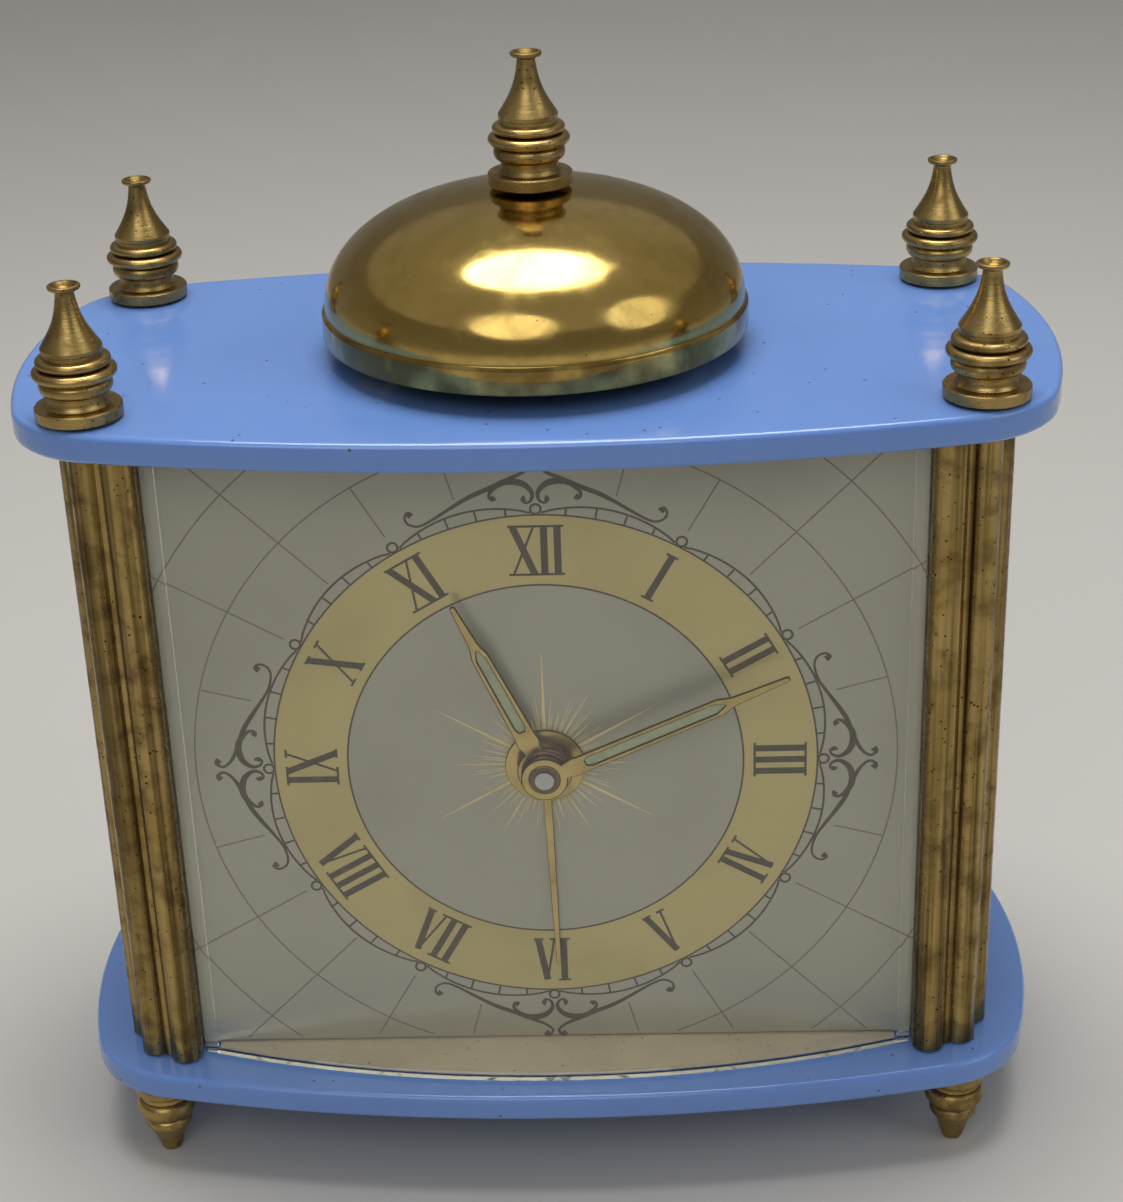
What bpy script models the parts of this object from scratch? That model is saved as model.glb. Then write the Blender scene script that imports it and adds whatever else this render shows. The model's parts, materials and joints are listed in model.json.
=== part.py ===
"""Wind-up bell alarm clock, modelled as its separate pieces.

Metres, +Z up. The clock stands on its four feet at z = 0 and faces -Y. X runs to the right of someone who
looks at the dial. The clockwork is drawn in the dial's own plane: x to the right, y up from the dial's
centre, and a depth that grows from the dial towards the back.
"""

import math

import bmesh
import bpy
from mathutils import Vector

MM = 0.001
TURN = 2 * math.pi

# Seats and running fits
SEAT = 0.3 * MM
RUNNING = 0.2 * MM

# Plates
PLATE_MARGIN_X = 10.2 * MM
PLATE_MARGIN_Y = 10.0 * MM
PLATE_THICK = 3.2 * MM
PLATE_FRONT_RADIUS = 210 * MM
PLATE_SIDE_RADIUS = 62 * MM
PLATE_CORNER_RADIUS = 12 * MM
PLATE_EDGE_ROUND = 0.6 * MM
CASE_SPACE = 75.2 * MM
HAMMER_SLOT_HALF_X = 3.6 * MM
HAMMER_SLOT_HALF_Y = 1.6 * MM

# Feet, finials and tie rods
FOOT_HEIGHT = 10.3 * MM
FOOT_DIAMETER = 7.0 * MM
FINIAL_DIAMETER = 9.0 * MM
FINIAL_HEIGHT = 14.2 * MM
ROD_RADIUS = 0.75 * MM
ROD_GRIP = 4.0 * MM

# Corner posts
REED_RADIUS = 1.75 * MM
BEAD_RADIUS = 0.6 * MM
BEAD_LIFT = 0.35 * MM
REED_SIDE_U = -3.4 * MM
REED_SIDE_V = 1.1 * MM
REED_MIDDLE_U = 0.3 * MM
REED_MIDDLE_V = -0.5 * MM
REED_LAST_STEP = 1.0 * MM
POST_INSIDE_U = -6.0 * MM
POST_INSIDE_V = -7.0 * MM
POST_OUT_X = 0.6 * MM
POST_OUT_Y = 2.0 * MM

# Bell
BELL_LIFT = 2.3 * MM
BELL_RADIUS = 23.0 * MM
BELL_BAND = 3.1 * MM
BELL_DOME = 12.2 * MM
BELL_WALL = 0.8 * MM
BELL_GROOVE = 0.35 * MM
BELL_FULLNESS = 2.15
STUD_RADIUS = 2.0 * MM
STUD_THREAD_RADIUS = 1.2 * MM

# Case, dial and lens
CASE_HALF_X = 45.4 * MM
CASE_HALF_Y = 17.8 * MM
CASE_WALL = 2.0 * MM
CASE_CORNER_RADIUS = 1.0 * MM
CASE_SILL = 0.5 * MM
LIP_RELIEF = 0.1 * MM
CASE_WINDOW_RADIUS = 21.0 * MM
DIAL_RISE = 36.8 * MM
DIAL_INSET = 3.4 * MM
DIAL_THICK = 0.5 * MM
LENS_STAND = 8.5 * MM
LENS_BOW = 6.6 * MM
LENS_INSET = 1.5 * MM
LENS_WALL = 1.5 * MM
COVER_THICK = 2.0 * MM
COVER_BOSS_RADIUS = 2.4 * MM
COVER_SCREW_RADIUS = 0.9 * MM
COVER_SCREW_HEAD = 1.8 * MM
COVER_SCREW_HEAD_THICK = 1.0 * MM
COVER_SCREW_LENGTH = 5.0 * MM
COVER_SCREW_HOLE = 6.0 * MM
COVER_BOSS_INSET = 1.8 * MM
PAD_X = 29.5 * MM
PAD_Y = 26.0 * MM
PAD_RADIUS = 2.5 * MM

# Movement frame
MOVEMENT_HALF_X = 33.5 * MM
MOVEMENT_TOP = 34.0 * MM
MOVEMENT_FOOT = 31.5 * MM
MOVEMENT_PLATE = 1.2 * MM
MOVEMENT_CORNER_RADIUS = 3.0 * MM
MOTION_SPACE = 5.3 * MM
MOVEMENT_SPACE = 20.1 * MM
PILLAR_X = 31.0 * MM
PILLAR_TOP = 31.0 * MM
PILLAR_FOOT = 28.5 * MM
PILLAR_RADIUS = 1.5 * MM
TENON_RADIUS = 0.9 * MM
TENON_REACH = 0.6 * MM
PIVOT_RADIUS = 0.5 * MM
ARBOR_RADIUS = 0.8 * MM
FINE_ARBOR_RADIUS = 0.6 * MM
ARBOR_SHOULDER = 0.5 * MM
WHEEL_THICK = 0.7 * MM
GREAT_THICK = 1.2 * MM
PINION_OVERHANG = 0.4 * MM

# Where the wheels stand between the movement plates, as shares of the space
THIRD_SHARE = 0.403
CENTRE_SHARE = 0.612
ESCAPE_SHARE = 0.672
VERGE_SHARE = 0.682
LEVER_SHARE = 0.726
FOURTH_SHARE = 0.771
BALANCE_SHARE = 0.851
HAIRSPRING_SHARE = 0.930
GREAT_STAND = 1.5 * MM
SPRING_STAND = 1.0 * MM
MINUTE_WHEEL_STAND = 1.4 * MM
HOUR_WHEEL_STAND = 2.9 * MM
ALARM_WHEEL_STAND = 4.8 * MM

# Hubs, rims and spokes of the wheels
CENTRE_TUBE_SHORT = 5.0 * MM
CENTRE_TUBE_RADIUS = 1.9 * MM
CENTRE_HUB_RADIUS = 1.6 * MM
CENTRE_WINDOW_INNER = 4.2 * MM
CENTRE_RIM = 2.2 * MM
CENTRE_SPOKE = 1.6 * MM
GREAT_HUB_FRONT = 0.2 * MM
GREAT_HUB_BACK = 0.3 * MM
GREAT_HUB_RADIUS = 3.4 * MM
GREAT_DISC_BORE = 2.6 * MM
GREAT_WINDOW_INNER = 5.2 * MM
GREAT_RIM = 2.9 * MM
GREAT_SPOKE = 3.0 * MM
THIRD_WINDOW_INNER = 2.6 * MM
THIRD_RIM = 2.0 * MM
THIRD_SPOKE = 1.5 * MM
FOURTH_WINDOW_INNER = 2.4 * MM
FOURTH_RIM = 1.8 * MM
FOURTH_SPOKE = 1.4 * MM
ESCAPE_WINDOW_INNER = 1.8 * MM
ESCAPE_RIM = 2.4 * MM
ESCAPE_SPOKE = 0.9 * MM
ALARM_WINDOW_INNER = 5.0 * MM
ALARM_RIM = 2.6 * MM
ALARM_SPOKE = 2.4 * MM
ALARM_DISC_BORE = 2.2 * MM
ALARM_HUB_RADIUS = 3.2 * MM
ALARM_HUB_FRONT = 0.2 * MM
ALARM_HUB_BACK = 0.9 * MM
HOUR_DISC_BORE = 2.05 * MM
HOUR_HUB_RADIUS = 2.4 * MM
HOUR_HUB_FRONT = 0.4 * MM
HOUR_HUB_BACK = 0.85 * MM
CANNON_COLLAR_RADIUS = 1.5 * MM
CANNON_COLLAR_FRONT = 0.5 * MM
CANNON_COLLAR_BACK = 0.3 * MM
MINUTE_STUD_FRONT = 0.8 * MM
MINUTE_STUD_BACK = 0.35 * MM
MINUTE_PIVOT_REACH = 0.6 * MM

# Wheel trains: teeth and modules
GREAT_TEETH = 48
CENTRE_LEAVES = 8
GREAT_MODULE = 0.75 * MM
CENTRE_TEETH = 40
THIRD_LEAVES = 6
CENTRE_MODULE = 0.7 * MM
THIRD_TEETH = 45
FOURTH_LEAVES = 6
THIRD_MODULE = 0.53 * MM
FOURTH_TEETH = 48
ESCAPE_LEAVES = 6
FOURTH_MODULE = 0.43 * MM
ESCAPE_TEETH = 15
ESCAPE_RADIUS = 6.5 * MM
ESCAPE_TOOTH = 1.4 * MM
ALARM_GREAT_TEETH = 36
VERGE_LEAVES = 8
VERGE_TEETH = 15
VERGE_RADIUS = 5.5 * MM
VERGE_TOOTH = 1.3 * MM
CANNON_TEETH = 10
MINUTE_TEETH = 30
MOTION_MODULE = 0.48 * MM
MINUTE_LEAVES = 8
HOUR_TEETH = 32
ALARM_SET_TEETH = 10
ALARM_TEETH = 40
ALARM_MODULE = 0.65 * MM

# Directions of the arbors, in degrees from +x, seen from the front
TIME_GREAT_AT = 216
ALARM_GREAT_AT = -36
THIRD_AT = 119.6
FOURTH_AT = 152
ESCAPE_AT = 40
PALLET_AT = -10
VERGE_AT = 51.3
ALARM_SET_AT = 20
MINUTE_AT = -90
PALLET_REACH = 9.0 * MM
BALANCE_X = 7.5 * MM
BALANCE_Y = 17.5 * MM
HAMMER_X = 24.8 * MM
HAMMER_Y = 9.05 * MM
HAMMER_HEAD_X = 16.8 * MM
HAMMER_DEPTH = 5.0 * MM
HAMMER_ARM_HALF = 0.6 * MM
VERGE_ANCHOR_BACK = 1.1 * MM
VERGE_ANCHOR_HALF = 4.6 * MM
VERGE_ANCHOR_BAR = 0.9 * MM
VERGE_ANCHOR_GAP = 0.7 * MM
HAMMER_HEAD_HALF = 2.4 * MM
HAMMER_HEAD_RADIUS = 2.0 * MM
HAMMER_HEAD_ROUND = 0.7

# Escapement
LEVER_THICK = 0.8 * MM
LEVER_HALF = 1.0 * MM
LEVER_ANCHOR_DROP = 0.1 * MM
FORK_GAP = 0.4 * MM
FORK_NOTCH = 0.9 * MM
PALLET_PIN_RADIUS = 0.3 * MM
PALLET_PIN_REACH = 2.6 * MM
PALLET_PIN_OVERHANG = 0.3 * MM
BALANCE_RADIUS = 8.0 * MM
BALANCE_RIM = 1.3 * MM
BALANCE_THICK = 1.0 * MM
BALANCE_WINDOW_INNER = 2.9 * MM
BALANCE_SPOKE = 1.8 * MM
IMPULSE_PIN_OVERHANG = 0.2 * MM
IMPULSE_PIN_RADIUS = 0.35 * MM
IMPULSE_AT = 2.2 * MM
HAIRSPRING_INNER = 1.5 * MM
HAIRSPRING_OUTER = 5.2 * MM
HAIRSPRING_TURNS = 3
HAIRSPRING_LEAF = 0.2 * MM
HAIRSPRING_WIDTH = 0.4 * MM
HAIRSPRING_TAIL = 0.02
HAIRSPRING_PEG_OUT = 1.3 * MM

# Springs
SPRING_WIDTH = 7.0 * MM
SPRING_LEAF = 0.5 * MM
SPRING_INNER = 2.9 * MM
SPRING_OUTER = 13.2 * MM
ALARM_SPRING_OUTER = 11.6 * MM
SPRING_TURNS = 4
SPRING_TAIL = 0.3

# Hands
HAND_THICK = 0.4 * MM
ALARM_HAND_STAND = 0.6 * MM
HOUR_HAND_STAND = 1.2 * MM
MINUTE_HAND_STAND = 1.6 * MM
ARBOR_TIP_STAND = 0.6 * MM
HOUR_TUBE_STAND = 0.3 * MM
HAND_FIT = 0.1 * MM
BUSH_FRONT = 0.25 * MM
BUSH_BACK = 0.6 * MM
MINUTE_HAND_LENGTH = 28.7 * MM
HOUR_HAND_LENGTH = 22.0 * MM
ALARM_HAND_LENGTH = 25.9 * MM
MINUTE_HAND_ANGLE = 66.0
HOUR_HAND_ANGLE = -24.5
ALARM_HAND_ANGLE = 178.5
MINUTE_ARBOR_RADIUS = 1.05 * MM
HOUR_TUBE_RADIUS = 1.75 * MM
ALARM_TUBE_RADIUS = 2.5 * MM
MINUTE_BOSS_RADIUS = 2.55 * MM
HOUR_BOSS_RADIUS = 3.0 * MM
ALARM_BOSS_RADIUS = 4.35 * MM
MINUTE_BUSH_RADIUS = 1.7 * MM
HOUR_BUSH_RADIUS = 2.45 * MM
MINUTE_ROOT = 4.2 * MM
MINUTE_HALF_ROOT = 1.05 * MM
MINUTE_HALF_NECK = 1.0 * MM
MINUTE_NECK = 22.3 * MM
MINUTE_SLOT_START = 4.8 * MM
MINUTE_SLOT_END = 21.0 * MM
MINUTE_SLOT_HALF = 0.5 * MM
HOUR_ROOT = 4.6 * MM
HOUR_HALF_ROOT = 1.15 * MM
HOUR_HALF_NECK = 0.95 * MM
HOUR_NECK = 17.1 * MM
HOUR_SLOT_START = 5.4 * MM
HOUR_SLOT_END = 16.0 * MM
HOUR_SLOT_HALF_ROOT = 0.5 * MM
HOUR_SLOT_HALF_END = 0.45 * MM
HAND_NECK_TAPER = 1.2 * MM
HAND_HALF_TIP = 0.25 * MM
ALARM_HALF_ROOT = 0.45 * MM

# Controls at the back
KEY_ARBOR_RADIUS = 1.5 * MM
KEY_HALF_SPAN = 9.5 * MM
KEY_HEIGHT = 7.5 * MM
KEY_THICK = 1.3 * MM
KEY_BARREL_RADIUS = 2.6 * MM
KEY_BARREL_LENGTH = 3.0 * MM
KEY_WING_LOW = 0.8 * MM
KEY_WING_INSET = 0.6 * MM
KEY_WING_SINK = 1.2 * MM
SPRING_HUB_RADIUS = 2.3 * MM
SPRING_HUB_FRONT = 0.5 * MM
SPRING_HUB_BACK = 0.2 * MM
RATCHET_TEETH = 8
RATCHET_TIP = 4.4 * MM
RATCHET_ROOT = 3.5 * MM
RATCHET_FRONT = 0.4 * MM
RATCHET_GAP = 0.5 * MM
HAND_KNOB_RADIUS = 4.6 * MM
ALARM_KNOB_RADIUS = 4.0 * MM
KNOB_LENGTH = 5.0 * MM
KNOB_GRIP = 1.0 * MM
KNOB_NOTCH = 0.35 * MM
MINUTE_ARBOR_REACH = 4.0 * MM
SETTING_ARBOR_FRONT = 0.8 * MM
STOP_X = 17.3 * MM
STOP_Y = 27.0 * MM
STOP_RADIUS = 1.0 * MM
STOP_CAP_RADIUS = 2.1 * MM
STOP_CAP_LENGTH = 2.2 * MM
STOP_TRAVEL = 2.5 * MM
STOP_CLEAR = 1.0 * MM
STOP_REST = 1.0 * MM
REGULATOR_REACH = 13.0 * MM
REGULATOR_SWING = 18
REGULATOR_PIN_RADIUS = 0.8 * MM
REGULATOR_PIN_OUT = 1.6 * MM
INDEX_STAND = 0.4 * MM
INDEX_THICK = 0.7 * MM
INDEX_HUB_RADIUS = 2.6 * MM
INDEX_BORE = 1.2 * MM
INDEX_HALF = 0.7 * MM
INDEX_POINT = 1.2 * MM

# Places that follow from the sizes above
CORNER_X = CASE_HALF_X + POST_OUT_X
CORNER_Y = CASE_HALF_Y + POST_OUT_Y
PLATE_HALF_X = CORNER_X + PLATE_MARGIN_X
PLATE_HALF_Y = CORNER_Y + PLATE_MARGIN_Y
BASE_TOP = FOOT_HEIGHT + PLATE_THICK
TOP_UNDER = BASE_TOP + CASE_SPACE
TOP_TOP = TOP_UNDER + PLATE_THICK
DIAL_Z = BASE_TOP + DIAL_RISE
BELL_RIM = TOP_TOP + BELL_LIFT
BELL_CROWN = BELL_RIM + BELL_BAND + BELL_DOME
DIAL_BACK = CASE_HALF_Y + SEAT
DIAL_FRONT = DIAL_BACK + DIAL_THICK
DIAL_HALF_X = CASE_HALF_X - DIAL_INSET
LENS_FRONT = DIAL_FRONT + LENS_STAND
LENS_HALF_X = DIAL_HALF_X - LENS_INSET
LENS_RADIUS = (LENS_HALF_X**2 + LENS_BOW**2) / (2 * LENS_BOW)
ALARM_HAND_FRONT = DIAL_FRONT + ALARM_HAND_STAND
HOUR_HAND_FRONT = ALARM_HAND_FRONT + HOUR_HAND_STAND
MINUTE_HAND_FRONT = HOUR_HAND_FRONT + MINUTE_HAND_STAND
ARBOR_TIP = MINUTE_HAND_FRONT + ARBOR_TIP_STAND
MOVEMENT_FRONT = MOTION_SPACE - CASE_HALF_Y
MOVEMENT_INNER_FRONT = MOVEMENT_FRONT + MOVEMENT_PLATE
MOVEMENT_INNER_BACK = MOVEMENT_INNER_FRONT + MOVEMENT_SPACE
MOVEMENT_BACK = MOVEMENT_INNER_BACK + MOVEMENT_PLATE
COVER_BACK = CASE_HALF_Y - SEAT
COVER_FRONT = COVER_BACK - COVER_THICK
ROD_HOLE_RADIUS = ROD_RADIUS + RUNNING

# Depths of the wheels, front plate to back plate
GREAT_DEPTH = MOVEMENT_INNER_FRONT + GREAT_STAND
SPRING_DEPTH = GREAT_DEPTH + GREAT_THICK + SPRING_STAND
THIRD_DEPTH = MOVEMENT_INNER_FRONT + THIRD_SHARE * MOVEMENT_SPACE
CENTRE_DEPTH = MOVEMENT_INNER_FRONT + CENTRE_SHARE * MOVEMENT_SPACE
ESCAPE_DEPTH = MOVEMENT_INNER_FRONT + ESCAPE_SHARE * MOVEMENT_SPACE
VERGE_DEPTH = MOVEMENT_INNER_FRONT + VERGE_SHARE * MOVEMENT_SPACE
LEVER_DEPTH = MOVEMENT_INNER_FRONT + LEVER_SHARE * MOVEMENT_SPACE
FOURTH_DEPTH = MOVEMENT_INNER_FRONT + FOURTH_SHARE * MOVEMENT_SPACE
BALANCE_DEPTH = MOVEMENT_INNER_FRONT + BALANCE_SHARE * MOVEMENT_SPACE
HAIRSPRING_DEPTH = MOVEMENT_INNER_FRONT + HAIRSPRING_SHARE * MOVEMENT_SPACE
MINUTE_WHEEL_DEPTH = MOVEMENT_FRONT - MINUTE_WHEEL_STAND
HOUR_WHEEL_DEPTH = MOVEMENT_FRONT - HOUR_WHEEL_STAND
ALARM_WHEEL_DEPTH = MOVEMENT_FRONT - ALARM_WHEEL_STAND


# Scene and helpers
for old in list(bpy.data.objects):
    bpy.data.objects.remove(old, do_unlink=True)

clock = bpy.data.collections.new("bell_alarm_clock")
bpy.context.scene.collection.children.link(clock)
cutters = bpy.data.collections.new("cutters")
bpy.context.scene.collection.children.link(cutters)


def material(name, colour, roughness, metallic, alpha=1.0):
    """A Principled surface with one colour."""
    made = bpy.data.materials.new(name)
    made.use_nodes = True
    shader = made.node_tree.nodes["Principled BSDF"]
    shader.inputs["Base Color"].default_value = (*colour, 1.0)
    shader.inputs["Roughness"].default_value = roughness
    shader.inputs["Metallic"].default_value = metallic
    shader.inputs["Alpha"].default_value = alpha
    made.diffuse_color = (*colour, alpha)
    return made


BLUE_PLASTIC = material("blue_plastic", (0.19, 0.31, 0.62), 0.15, 0.0)
BRASS = material("aged_brass", (0.45, 0.30, 0.09), 0.32, 1.0)
BELL_BRASS = material("bell_brass", (0.62, 0.43, 0.12), 0.16, 1.0)
CREAM = material("cream_plastic", (0.62, 0.56, 0.40), 0.45, 0.0)
CLEAR = material("clear_lens", (0.95, 0.95, 0.93), 0.03, 0.0, 0.12)
SILVER = material("champagne_silver", (0.47, 0.43, 0.34), 0.42, 0.7)
GILT = material("gilt_hands", (0.60, 0.46, 0.16), 0.30, 1.0)
STEEL = material("steel", (0.42, 0.42, 0.43), 0.30, 1.0)
SPRING_STEEL = material("blued_spring_steel", (0.20, 0.21, 0.26), 0.28, 1.0)
MOVEMENT_BRASS = material("movement_brass", (0.58, 0.44, 0.17), 0.35, 1.0)
BLACK = material("black_lacquer", (0.03, 0.03, 0.03), 0.35, 0.0)


def link(obj, surface=None):
    """A piece of the clock, or a helper where no surface is given."""
    if surface is None:
        cutters.objects.link(obj)
        obj.hide_render = True
        obj.display_type = "WIRE"
        return obj
    clock.objects.link(obj)
    obj.data.materials.clear()
    obj.data.materials.append(surface)
    return obj


def polar(radius, angle, centre=(0.0, 0.0)):
    return (centre[0] + radius * math.cos(angle), centre[1] + radius * math.sin(angle))


def beyond(centre, reach, degrees):
    return polar(reach, math.radians(degrees), centre)


def ring(radius, points, centre=(0.0, 0.0)):
    """A closed round outline, turned by its own place so that no two holes' corners line up."""
    first = (137 * centre[0] + 89 * centre[1]) % 1.0
    return [polar(radius, TURN * (i + first) / points, centre) for i in range(points)]


def arc(centre, radius, start, end, steps):
    """Points from one angle to another, both ends included."""
    return [polar(radius, start + (end - start) * i / steps, centre) for i in range(steps + 1)]


def meeting(first, second, away_from):
    """The point where two circles (x, y, radius) cross, on the side away from a point."""
    dx = second[0] - first[0]
    dy = second[1] - first[1]
    apart = math.hypot(dx, dy)
    along = (apart**2 + first[2] ** 2 - second[2] ** 2) / (2 * apart)
    across = math.sqrt(first[2] ** 2 - along**2)
    base = (first[0] + dx * along / apart, first[1] + dy * along / apart)
    both = [
        (base[0] - dy * across / apart, base[1] + dx * across / apart),
        (base[0] + dy * across / apart, base[1] - dx * across / apart),
    ]
    return max(both, key=lambda p: math.dist(p, away_from))


def flat(name, loops, low, high, surface=None, edge=0.0):
    """A plate cut to a flat outline, with holes, from height low to height high; its rims may be rounded."""
    curve = bpy.data.curves.new(name, "CURVE")
    curve.dimensions = "2D"
    curve.fill_mode = "BOTH"
    curve.extrude = (high - low) / 2 - edge
    curve.bevel_depth = edge
    curve.bevel_resolution = 0
    curve.offset = -edge
    for loop in loops:
        spline = curve.splines.new("POLY")
        spline.points.add(len(loop) - 1)
        for point, place in zip(spline.points, loop):
            point.co = (place[0], place[1], 0.0, 1.0)
        spline.use_cyclic_u = True
    drawn = bpy.data.objects.new(name + "_outline", curve)
    bpy.context.scene.collection.objects.link(drawn)
    graph = bpy.context.evaluated_depsgraph_get()
    mesh = bpy.data.meshes.new_from_object(drawn.evaluated_get(graph))
    bpy.data.objects.remove(drawn)
    mesh.name = name
    work = bmesh.new()
    work.from_mesh(mesh)
    bmesh.ops.remove_doubles(work, verts=work.verts, dist=1e-6)
    bmesh.ops.translate(work, verts=work.verts, vec=Vector((0, 0, (low + high) / 2)))
    bmesh.ops.recalc_face_normals(work, faces=work.faces)
    work.to_mesh(mesh)
    work.free()
    return link(bpy.data.objects.new(name, mesh), surface)


def turned(name, profile, steps, surface=None, closed=False):
    """A turned piece from its profile of (radius, height), drawn top to bottom down the outer side."""
    mesh = bpy.data.meshes.new(name)
    edges = [(i, i + 1) for i in range(len(profile) - 1)]
    if closed:
        edges.append((len(profile) - 1, 0))
    mesh.from_pydata([(r, 0, z) for r, z in profile], edges, [])
    obj = link(bpy.data.objects.new(name, mesh), surface)
    screw = obj.modifiers.new("turn", "SCREW")
    screw.axis = "Z"
    screw.angle = TURN
    screw.steps = steps
    screw.render_steps = steps
    screw.use_merge_vertices = True
    screw.merge_threshold = 0.00001
    screw.use_smooth_shade = True
    return obj


def box(name, low, high, surface=None):
    """A block between two corners."""
    mesh = bpy.data.meshes.new(name)
    work = bmesh.new()
    bmesh.ops.create_cube(work, size=1.0)
    size = Vector(high) - Vector(low)
    bmesh.ops.scale(work, verts=work.verts, vec=size)
    bmesh.ops.translate(work, verts=work.verts, vec=(Vector(low) + Vector(high)) / 2)
    work.to_mesh(mesh)
    work.free()
    return link(bpy.data.objects.new(name, mesh), surface)


def drill(name, radius, low, high, centre, points=12):
    """A round cutter along Z from low to high."""
    return flat(name, [ring(radius, points, centre)], low, high)


def boolean(obj, other, operation):
    made = obj.modifiers.new(other.name, "BOOLEAN")
    made.operation = operation
    made.solver = "EXACT"
    made.object = other
    return obj


def cut(obj, cutter):
    return boolean(obj, cutter, "DIFFERENCE")


def join(obj, piece):
    """Fuses a helper drawn in the same frame to the piece that carries it."""
    piece.parent = obj
    return boolean(obj, piece, "UNION")


# The clockwork's frame: x right, y up from the dial's centre, height = minus depth
def set_in_clock(obj, at):
    obj.location = (at[0], 0.0, DIAL_Z + at[1])
    obj.rotation_euler = (math.pi / 2, 0.0, 0.0)
    return obj


def sheet(name, loops, front, back, surface=None):
    """A flat clockwork piece between two depths."""
    return flat(name, loops, -back, -front, surface)


def spindle(name, sections, steps, surface=None):
    """A turned arbor from sections of (front depth, back depth, radius), one after another."""
    profile = [(0.0, -sections[0][0])]
    for front, back, radius in sections:
        profile.append((radius, -front))
        profile.append((radius, -back))
    profile.append((0.0, -sections[-1][1]))
    return turned(name, profile, steps, surface)


def sleeve(name, bore, sections, steps, surface=None):
    """A turned tube from sections of (front depth, back depth, radius) round one bore."""
    profile = []
    for front, back, radius in sections:
        profile.append((radius, -front))
        profile.append((radius, -back))
    profile.append((bore, -sections[-1][1]))
    profile.append((bore, -sections[0][0]))
    return turned(name, profile, steps, surface, closed=True)


def gear(teeth, module, phase):
    """Outline of pointed clock teeth whose first tooth points along the phase."""
    pitch = teeth * module / 2
    loop = []
    for i in range(teeth):
        angle = phase + TURN * i / teeth
        loop.append(polar(pitch + 0.55 * module, angle))
        loop.append(polar(pitch - 0.90 * module, angle + TURN / (2 * teeth)))
    return loop


def windows(count, inner, outer, spoke, start):
    """Openings between straight spokes, from the hub's radius to the rim's."""
    loops = []
    for i in range(count):
        low = start + TURN * i / count
        high = low + TURN / count
        inset_in = math.asin(spoke / 2 / inner)
        inset_out = math.asin(spoke / 2 / outer)
        loop = arc((0, 0), outer, low + inset_out, high - inset_out, max(3, round(8 / count)))
        loop += arc((0, 0), inner, high - inset_in, low + inset_in, max(1, round(5 / count)))
        loops.append(loop)
    return loops


def ratchet(teeth, tip, root, phase):
    """Outline of saw teeth that lean one way."""
    loop = []
    for i in range(teeth):
        angle = phase + TURN * i / teeth
        loop.append(polar(tip, angle))
        loop.append(polar(root, angle + TURN * 0.18 / teeth))
        loop.append(polar(root, angle + TURN * 0.55 / teeth))
    return loop


def between(low, high, share):
    return low + (high - low) * share


# Plates
def plate_outline():
    """A rectangle with four bowed sides and rounded corners, drawn from one quarter."""
    front = (0.0, PLATE_FRONT_RADIUS - PLATE_HALF_Y)
    side = (PLATE_HALF_X - PLATE_SIDE_RADIUS, 0.0)
    corner = meeting(
        (*front, PLATE_FRONT_RADIUS - PLATE_CORNER_RADIUS),
        (*side, PLATE_SIDE_RADIUS - PLATE_CORNER_RADIUS),
        (-PLATE_FRONT_RADIUS, PLATE_FRONT_RADIUS),
    )
    front_end = math.atan2(corner[1] - front[1], corner[0] - front[0])
    side_end = math.atan2(corner[1] - side[1], corner[0] - side[0])
    quarter = arc(front, PLATE_FRONT_RADIUS, -TURN / 4, front_end, 3)
    quarter += arc(corner, PLATE_CORNER_RADIUS, front_end, side_end, 5)[1:]
    quarter += arc(side, PLATE_SIDE_RADIUS, side_end, 0.0, 2)[1:]
    right = quarter + [(x, -y) for x, y in reversed(quarter[:-1])]
    return right + [(-x, y) for x, y in reversed(right[1:-1])]


CORNERS = {
    "front_left": (-1, -1),
    "front_right": (1, -1),
    "back_left": (-1, 1),
    "back_right": (1, 1),
}


def corner_plate(name, low):
    plate = flat(name, [plate_outline()], low, low + PLATE_THICK, BLUE_PLASTIC, PLATE_EDGE_ROUND)
    for corner, (sx, sy) in CORNERS.items():
        hole = drill(
            name + "_rod_hole_" + corner,
            ROD_HOLE_RADIUS,
            low - PLATE_THICK,
            low + 2 * PLATE_THICK,
            (sx * CORNER_X, sy * CORNER_Y),
            8,
        )
        cut(plate, hole)
    return plate


base_plate = corner_plate("base_plate", FOOT_HEIGHT)
top_plate = corner_plate("top_plate", TOP_UNDER)


# The hammer's arm leaves the case through a slot that leaves room for its swing
def hammer_arm_x(height):
    """Where the arm's middle line stands at a height."""
    share = (height - DIAL_Z - HAMMER_Y) / (BELL_RIM + BELL_BAND - DIAL_Z - HAMMER_Y)
    return between(HAMMER_X, HAMMER_HEAD_X, share)


slot_x = hammer_arm_x(TOP_UNDER)
hammer_slot = box(
    "hammer_slot",
    (slot_x - HAMMER_SLOT_HALF_X, HAMMER_DEPTH - HAMMER_SLOT_HALF_Y, TOP_UNDER - CASE_WALL * 2),
    (slot_x + HAMMER_SLOT_HALF_X, HAMMER_DEPTH + HAMMER_SLOT_HALF_Y, TOP_TOP + PLATE_THICK),
)
cut(top_plate, hammer_slot)
cut(top_plate, drill("stud_hole", STUD_THREAD_RADIUS + RUNNING, TOP_UNDER - SEAT, TOP_TOP + SEAT, (0, 0), 10))


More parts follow.
